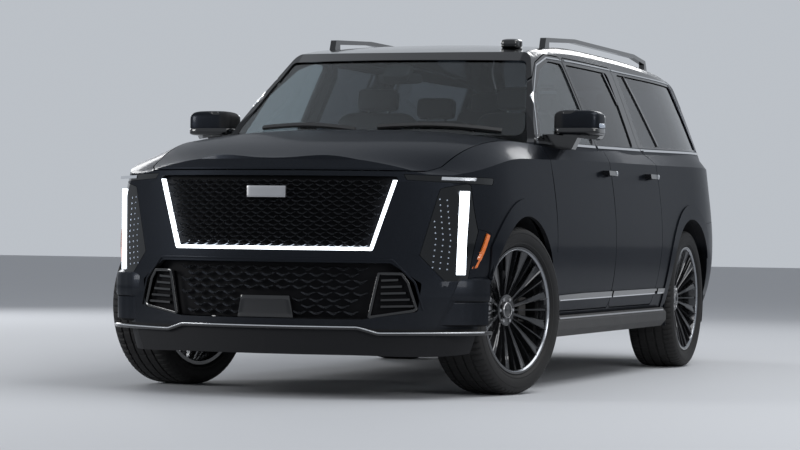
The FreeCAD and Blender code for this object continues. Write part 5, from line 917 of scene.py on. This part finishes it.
def wheel_turned(name, wheel, profile, steps=96, ripple=0.0):
    """A closed (radius, outward) profile turned about the wheel's axis: (r cos t, r sin t, w); ripple is added to r."""
    centre, turn_to = wheel_matrix(wheel)
    radius, out = np.asarray(profile, float).T
    turn = np.linspace(0, 2 * np.pi, steps, endpoint=False)[:, None]
    radius = radius[None] + 0 * turn + ripple
    rings = np.stack([radius * np.cos(turn), radius * np.sin(turn), out[None] + 0 * turn], -1)
    return closed_tube(name, centre + rings @ turn_to.T, wrap=True)


# %% One spoke's shape
def capped_faces(rings, columns):
    """Faces of a closed bar: quads between its rings and one flat face at each end."""
    last = (rings - 1) * columns
    return grid_faces(rings, columns, False, True).tolist() + [list(range(columns)), list(range(last, last + columns))]


def spoke_shape(widths, drop, twist, sections=9):
    """A spoke as sections along the radius: a shallow dish between two raised edges, swelling and twisting outwards."""
    share = np.linspace(0, 1, sections)[:, None]
    width = np.interp(share, [0, 0.35, 0.75, 1], widths)
    top = np.interp(share, [0, 0.15, 0.5, 0.85, 1], [0.058, 0.068, 0.092, 0.113, 0.1205]) - drop * (1 - share)
    angle = np.radians(np.interp(share, [0, 0.4, 1], [0, twist * 0.3, twist]))
    side = np.array([-0.36, -0.5, -0.42, -0.30, 0.30, 0.42, 0.5, 0.36]) * width
    rise = np.array([-0.030, -0.004, 0.0, -0.0045, -0.0045, 0.0, -0.004, -0.030]) + 0 * width
    radius = 0.070 + 0.2305 * share + 0 * side
    points = np.stack([side * np.cos(angle) - rise * np.sin(angle), radius,
                       top + side * np.sin(angle) + rise * np.cos(angle)], -1)
    return points.reshape(-1, 3), capped_faces(sections, 8)


# %% A ring of spokes
def spokes_on(name, wheel, shape, offset, count=12):
    """A ring of equal spokes: each one's matrix is the wheel's own times a turn about the axle."""
    centre, turn_to = wheel_matrix(wheel)
    angle = np.radians(offset + np.arange(count) * 360 / count)
    cos, sin, zero, one = np.cos(angle), np.sin(angle), 0 * angle, 0 * angle + 1
    turns = np.stack([np.stack(row, -1) for row in ((cos, sin, zero), (-sin, cos, zero), (zero, zero, one))], 1)
    return outward(repeated(name, *shape, np.tile(centre, (count, 1)), turn_to @ turns), 30)


# %% Profiles as (radius, outward) points
BARREL = [(0.318, -0.127), (0.318, 0.125), (0.316, 0.1275), (0.3065, 0.1275), (0.3045, 0.1255), (0.300, 0.118),
          (0.292, 0.070), (0.286, 0.020), (0.286, -0.060), (0.296, -0.120), (0.300, -0.127)]
EDGE = [(0.2990, 0.1195), (0.3030, 0.1255), (0.3062, 0.1280), (0.3046, 0.1290), (0.3012, 0.1266), (0.2974, 0.1205)]
HUB = [(0.001, 0.018), (0.078, 0.018), (0.082, 0.050), (0.078, 0.060), (0.070, 0.063), (0.052, 0.057), (0.044, 0.055),
       (0.001, 0.055)]
CAP = [(0.001, 0.053), (0.036, 0.053), (0.0365, 0.0675), (0.0345, 0.0695), (0.0290, 0.0685), (0.0275, 0.0665),
       (0.001, 0.0675)]
CAP_RING = [(0.0362, 0.060), (0.0395, 0.060), (0.0392, 0.0680), (0.0372, 0.0700), (0.0356, 0.0690)]
ROTOR = [(0.040, -0.008), (0.040, 0.026), (0.108, 0.026), (0.116, 0.021), (0.118, 0.012), (0.192, 0.012),
         (0.195, 0.010), (0.195, -0.006), (0.192, -0.008)]
HALF_TYRE = [(0.3190, 0.1226), (0.3235, 0.1300), (0.3300, 0.1345), (0.3325, 0.1372), (0.3360, 0.1378), (0.3385, 0.1368),
             (0.3460, 0.1402), (0.3600, 0.1425), (0.3740, 0.1421), (0.3800, 0.1412), (0.3808, 0.1396), (0.3836, 0.1392),
             (0.3846, 0.1404), (0.3900, 0.1390), (0.4000, 0.1342), (0.4080, 0.1270), (0.4140, 0.1150), (0.4170, 0.1020),
             (0.4180, 0.0820), (0.4105, 0.0800), (0.4105, 0.0725), (0.4184, 0.0705), (0.4190, 0.0330), (0.4110, 0.0312),
             (0.4110, 0.0238), (0.4190, 0.0220)]
TYRE = HALF_TYRE + [(r, -w) for r, w in reversed(HALF_TYRE)] + [(0.3200, -0.10), (0.3200, 0.10)]

# %% Spokes, tread blocks and wheel nuts, each drawn once
BROAD = spoke_shape([0.015, 0.020, 0.036, 0.054], 0.0, 13.0)
SLIM = spoke_shape([0.007, 0.008, 0.011, 0.014], 0.004, 0.0)
BLOCKS, RIB_EDGE = 76, 0.079
radius, out = np.asarray(TYRE).T
shoulder = (radius > 0.4075) & (np.abs(out) > RIB_EDGE)
rib = (radius > 0.4175) & (np.abs(out) < RIB_EDGE)
step = np.arange(BLOCKS * 4)[:, None]
cut = ((step + 2 * (out > 0)) % 4 == 0) * shoulder * -0.0065 + ((step + 1) % 8 == 0) * rib * -0.0030
LUGS, LUG_SEAT = 6, 0.046
lug_ring = np.concatenate([circle(0.0600, LUGS), np.full((LUGS, 1), LUG_SEAT)], 1)
hexagon = circle(0.0100, 6)
lug = np.concatenate([np.concatenate([hexagon * s, np.full((6, 1), w)], 1)
                      for s, w in ((1, 0), (1, 0.015), (0.8, 0.0185))])
print("tread of", BLOCKS, "blocks,", LUGS, "nuts a wheel")

# %% Rims, hubs, brake discs and tyres in place
for wheel in WHEEL_PLACES:
    body, rim, tyre = wheel + "_wheel", wheel + "_rim", wheel + "_tyre"
    centre, turn_to = wheel_matrix(wheel)
    lugs = repeated(wheel + "_lugs", lug, capped_faces(3, 6), centre + lug_ring @ turn_to.T,
                    np.tile(turn_to, (LUGS, 1, 1)))
    for thing, look, slot in (
            (wheel_turned(wheel + "_barrel", wheel, BARREL), spoke_gloss, "rim"),
            (wheel_turned(wheel + "_edge", wheel, EDGE), rim_edge, "rim"),
            (spokes_on(wheel + "_broad_spokes", wheel, BROAD, 15), spoke_gloss, "rim"),
            (spokes_on(wheel + "_slim_spokes", wheel, SLIM, 0), spoke_gloss, "rim"),
            (wheel_turned(wheel + "_hub", wheel, HUB, 48), spoke_gloss, "rim"),
            (wheel_turned(wheel + "_cap", wheel, CAP, 48), gloss_black, "rim"),
            (wheel_turned(wheel + "_cap_ring", wheel, CAP_RING, 48), steel, "rim"),
            (outward(lugs), steel, "rim"),
            (wheel_turned(wheel + "_rotor", wheel, ROTOR, 64), steel, "steel")):
        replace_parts(finish_piece(thing, body, look), rim)
    thing = wheel_turned(wheel + "_tread", wheel, TYRE, BLOCKS * 4, cut)
    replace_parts(finish_piece(thing, body, rubber), tyre)
print("wheels made:", len(WHEEL_PLACES))

# %% [markdown]
# ## Seats and the cabin seen through the glass
# A seat is soft, so each cushion is its own closed, crowned pad: a superellipsoid, which is a box
# with fully rounded edges, pulled up in the middle, raised at both sides and pinched along its
# seams. A cloth simulation would give more folds, but the seats are seen only through glass, and
# a formula is the same at every run. The pads stand where the solid seats stood.

# %% A crowned pad
POLE_HOLE, SEAM_WIDTH, SEAM_DEPTH = 0.02, 0.035, 0.009


def crowned_pad(name, centre, half, lean, crown=0.012, bolster=0.02, seams=(), square=0.32):
    """A superellipsoid, its upper side lifted by crown (1 - x^2)(1 - y^2) + bolster y^4 and pinched at each seam."""
    u = np.linspace(POLE_HOLE, np.pi - POLE_HOLE, 26)[:, None]
    v = np.linspace(0, 2 * np.pi, 52, endpoint=False)[None]

    def power(value):
        return np.sign(value) * np.abs(value) ** square

    x, y = power(np.sin(u)) * power(np.cos(v)), power(np.sin(u)) * power(np.sin(v))
    z = power(np.cos(u)) + 0 * v
    seam = sum(np.exp(-((y - at) / SEAM_WIDTH) ** 2) for at in seams)
    lift = (crown * (1 - x ** 2) * (1 - y ** 2) + bolster * np.abs(y) ** 4 - SEAM_DEPTH * seam) * (z > 0)
    local = np.stack([x * half[0], y * half[1], z * half[2] + lift], -1)
    cos, sin = math.cos(math.radians(lean)), math.sin(math.radians(lean))
    turn = np.array([[cos, 0, sin], [0, 1, 0], [-sin, 0, cos]])
    return closed_tube(name, np.asarray(centre, float) + local @ turn.T)


# %% One seat's pads
SEAT_LENGTH = 0.74


def seat_pads(row, x_front, y_centre, half_width, floor_z, stand, label, seams):
    """Cushion, back and head pad of one seat, from the solid seat's own front edge, floor and height."""
    def at(share, height):
        return np.array([x_front - share * SEAT_LENGTH, y_centre, floor_z + height * stand])

    parts = (("cushion", (at(0.02, 0.275) + at(0.70, 0.255)) / 2, (0.252, half_width, 0.060), -4.0, 0.014, 0.022),
             ("back", (at(0.74, 0.30) + at(0.935, 0.86)) / 2, (0.300, half_width, 0.050), -103.5, 0.012, 0.030),
             ("head_pad", at(0.925, 0.935), (0.062, half_width * 0.48, 0.042), -100.0, 0.010, 0.0))
    for part, centre, half, lean, crown, bolster in parts:
        pad = crowned_pad("%s_%s_%s" % (row, part, label), centre, half, lean, crown, bolster,
                          () if part == "head_pad" else seams)
        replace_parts(finish_piece(pad, "vehicle", leather), row)


# %% Front and second rows
SEAT_SIDE = 0.42


def head_post(x_front, y):
    """A thin post from a seat's back to its head pad: a circle at the foot and one at the top."""
    foot, top = [np.concatenate([(x, y) + circle(0.007, 8), np.full((8, 1), z)], 1)
                 for x, z in ((x_front - 0.665, 1.42), (x_front - 0.690, 1.53))]
    return closed_tube("post", [foot, top])


for row, x_front in (("front_seats", 0.855), ("second_row_seats", -0.165)):
    for side, label in SIDES:
        y = side * SEAT_SIDE
        seat_pads(row, x_front, y, 0.245, 0.584, 1.04, label, (-0.55, 0.55))
        base = swept("%s_base_%s" % (row, label), [(x_front - 0.12, y, 0.685), (x_front - 0.46, y, 0.675)],
                     rounded_box_profile(0.40, 0.190, 0.03))
        shell = swept("%s_shell_%s" % (row, label), [(x_front - 0.625, y, 0.80), (x_front - 0.745, y, 1.43)],
                      rounded_box_profile(0.47, 0.016, 0.007), up=(1, 0, 0))
        posts = [head_post(x_front, y + aside) for aside in (-0.06, 0.06)]
        for thing, look, slot in ((base, interior, "interior"), (shell, interior, "interior"),
                                  *((post, steel, "steel") for post in posts)):
            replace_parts(finish_piece(thing, "vehicle", look), row)

# %% Third row
for label, y in (("left", 0.415), ("middle", 0.0), ("right", -0.415)):
    seat_pads("third_row_bench", -1.145, y, 0.200, 0.764, 0.932, label, (0.0,))
base = swept("third_row_base", [(-1.29, 0, 0.855), (-1.60, 0, 0.855)], rounded_box_profile(1.20, 0.180, 0.03))
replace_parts(finish_piece(base, "vehicle", interior), "third_row_bench")
print("seat pads made:", sum("pad" in name or "cushion" in name or "back" in name for name in FINISHED))


# %% [markdown]
# ## Behind and on the windshield
# The mirror, its stalk and the sensor housing hang from the glass, the long curved screen stands
# on the dashboard, and the wipers lie on the glass outside. All but the screen take their place
# from the glass itself: a ray cast forward from the cabin finds its inner face, and the wipers are
# pressed onto its outer one, so that nothing floats if the glass is moved.

# %% Where the glass is
def glass_x(y, z):
    """How far forward the windshield's inner face is at a place: a ray cast forward from the cabin."""
    hit, place, _, _ = NODES["windshield"].ray_cast((0.2, y, z), (1, 0, 0))
    return place.x if hit else None


# %% Mirror, sensor housing and screen
mirror_x = glass_x(0.0, 1.660)
across = np.linspace(-0.125, 0.125, 13)
rear_view = swept("rear_view_mirror",
                  np.stack([mirror_x - 0.085 - 0.10 * across * across, across, 0 * across + 1.632], 1),
                  rounded_box_profile(0.060, 0.020, 0.009), up=(1, 0, -0.15),
                  scale=[0.72, 0.9] + [1.0] * 9 + [0.9, 0.72])
finish_piece(rear_view, "vehicle", interior)
slope = (glass_x(0, 1.60) - glass_x(0, 1.70)) / 0.10
housing = crowned_pad("sensor_housing", (glass_x(0, 1.668) - 0.042, 0, 1.662), (0.060, 0.075, 0.022),
                      math.degrees(math.atan(1 / slope)), 0.0, 0.0)
finish_piece(housing, "vehicle", black_trim)
stalk = swept("mirror_stalk", [(mirror_x - 0.080, 0, 1.636), (mirror_x - 0.052, 0, 1.654)], circle(0.008, 8),
              up=(0, 1, 0))
finish_piece(stalk, "vehicle", interior)
across = np.linspace(-0.28, 0.66, 25)
screen = swept("curved_screen", np.stack([0.918 + 0.10 * (across - 0.19) ** 2, across, 0 * across + 1.150], 1),
               rounded_box_profile(0.012, 0.118, 0.005))
finish_piece(screen, "vehicle", screen_glow)

# %% Wipers
for word, start, end in (("left", (0.700, 1.336), (0.060, 1.352)), ("right", (-0.060, 1.338), (-0.640, 1.352))):
    share = np.linspace(0, 1, 41)[None]
    offset = np.array([-0.008, 0.0, 0.008])[:, None]
    y = start[0] + (end[0] - start[0]) * share + 0 * offset
    z = start[1] + (end[1] - start[1]) * share + 0.018 * np.sin(np.pi * share) + offset
    near = [glass_x(a, b) for a, b in (start, end)]
    grid = np.stack([near[0] + (near[1] - near[0]) * share + 0.05 + 0 * y, y, z], -1)
    wiper = pressed("wiper_" + word, grid, 0, "windshield", 0.006, 0.010, 0.14)
    finish_piece(wiper, "vehicle", black_trim)
print("windshield's inner face at the mirror: x =", round(mirror_x, 3), "slope", round(slope, 2))

# %% [markdown]
# ## Small things that give the scale
# Marker lamps, mirror faces, handle ends, the dividers in the side glass and the little roof
# module are small, but the eye uses them to judge how big the car is. Strips are pressed onto
# their panels as before; the mirrors and the module are the same rounded pad as the seats,
# squarer and hard, because a die-cast shell is also a box with generous radii.

# %% Side markers, dividers, sill lines and handle ends
SILL_Y, HANDLE_Y = 1.035, 1.0235
side_strip("side_marker", [(2.403, 0.794), (2.432, 0.735), (2.490, 0.626)], 0.022,
           ["front_fenders", "front_bumper"], 0.004, 0.004, lens_amber, 24)
side_strip("quarter_divider", [(-1.141, 1.327), (-0.999, 1.770)], 0.030, ["quarter_glass"], 0.004, 0.004,
           gloss_black, 30)
side_strip("rear_door_divider", [(-0.598, 1.315), (-0.512, 1.760)], 0.020, ["SIDE_rear_door_glass"], 0.004, 0.004,
           gloss_black, 30)
for side, word in SIDES:
    x, z = np.meshgrid(np.linspace(1.30, -0.87, 60), np.linspace(0.359, 0.366, 3), indexing="ij")
    sill = pressed("sill_line_" + word, np.stack([x, 0 * x + SILL_Y * side, z], -1), 1, "side_sills", 0.003, 0.003)
    finish_piece(sill, "vehicle", steel)
    for door, x, z in (("front_door", 0.298, 1.141), ("rear_door", -0.626, 1.144)):
        tip = swept("%s_%s_handle_end" % (word, door),
                    [(x - 0.012, side * HANDLE_Y, z), (x + 0.016, side * HANDLE_Y, z)],
                    rounded_box_profile(0.031, 0.029, 0.008))
        finish_piece(tip, word + "_" + door, chrome)
print("sill lines and handle ends made")

# %% Mirror shells, bands, faces and lenses
MIRROR_PARTS = (("shell", (1.088, 1.043, 1.388), (0.096, 0.124, 0.064), 0.004, 0.42, paint, "paint"),
                ("band", (1.090, 1.043, 1.342), (0.0975, 0.1255, 0.024), 0.0, 0.42, gloss_black, "gloss_black"),
                ("face", (0.998, 1.043, 1.390), (0.012, 0.112, 0.055), 0.0, 0.3, mirror_glass, "steel"),
                ("lens", (1.085, 1.146, 1.372), (0.060, 0.026, 0.014), 0.0, 0.5, lamp_point, "steel"))
for side, word in SIDES:
    for part, (x, y, z), half, crown, square, look, slot in MIRROR_PARTS:
        piece = crowned_pad("%s_mirror_%s" % (word, part), (x, y * side, z), half, 0.0, crown, 0.0, (), square)
        finish_piece(piece, word + "_front_door", look)
print("mirrors made of", len(MIRROR_PARTS), "pieces each")

# %% Roof module
module = crowned_pad("roof_module", (0.565, 0.500, 1.846), (0.062, 0.052, 0.026), 3.0, 0.003, 0.0, (), 0.5)
finish_piece(module, "vehicle", gloss_black)
print("roof module of", len(module.data.polygons), "faces")


# %% [markdown]
# ## The back, which the photograph does not show
# The tail keeps to the same family: tall lamps with one bright line, a bright bar over a blank
# panel, reflectors low down. It is a plain guess. Each strip is drawn flat in rear view, stands
# behind the car, and is pressed forwards until it lies on its own panel.

# %% Tail lines, blank rear panel and reflectors
BEHIND, TAIL_REACH = -2.93, 0.45


def tail_strip(name, target, path, width, lift, thickness, look, across, steps, both=False):
    """A band in rear view along (y, z) points, pressed forwards from behind onto one panel of the tail."""
    flat = widened(evenly(path, steps), width, across)
    for side in ((1, -1) if both else (1,)):
        grid = np.stack([0 * flat[..., 0] + BEHIND, flat[..., 0] * side, flat[..., 1]], -1)
        thing = pressed(name + ("" if side > 0 else "_right"), grid, 0, target, lift, thickness, TAIL_REACH)
        finish_piece(thing, BODY_OF[target], look)
        print(name, "on", target, len(thing.data.polygons), "faces")


tail_strip("tail_line", "tail_lamps", [(0.829, 0.945), (0.822, 1.120), (0.797, 1.262)], 0.014, 0.003, 0.003,
           lamp_point, 4, 60, True)
tail_strip("gate_bar", "liftgate", [(-0.420, 1.172), (0.420, 1.172)], 0.018, 0.004, 0.004, chrome, 4, 60)
tail_strip("rear_number_panel", "liftgate", [(-0.170, 1.060), (0.170, 1.060)], 0.115, 0.004, 0.004,
           gloss_black, 10, 30)
tail_strip("rear_reflector", "rear_bumper", [(0.600, 0.520), (0.770, 0.524)], 0.030, 0.003, 0.004,
           lens_red, 5, 20, True)
tail_strip("rear_fold", "rear_bumper", [(-0.780, 0.700), (0.780, 0.700)], 0.012, 0.002, 0.003, paint, 3, 60)
print("small parts made; pieces in all:", len(FINISHED))
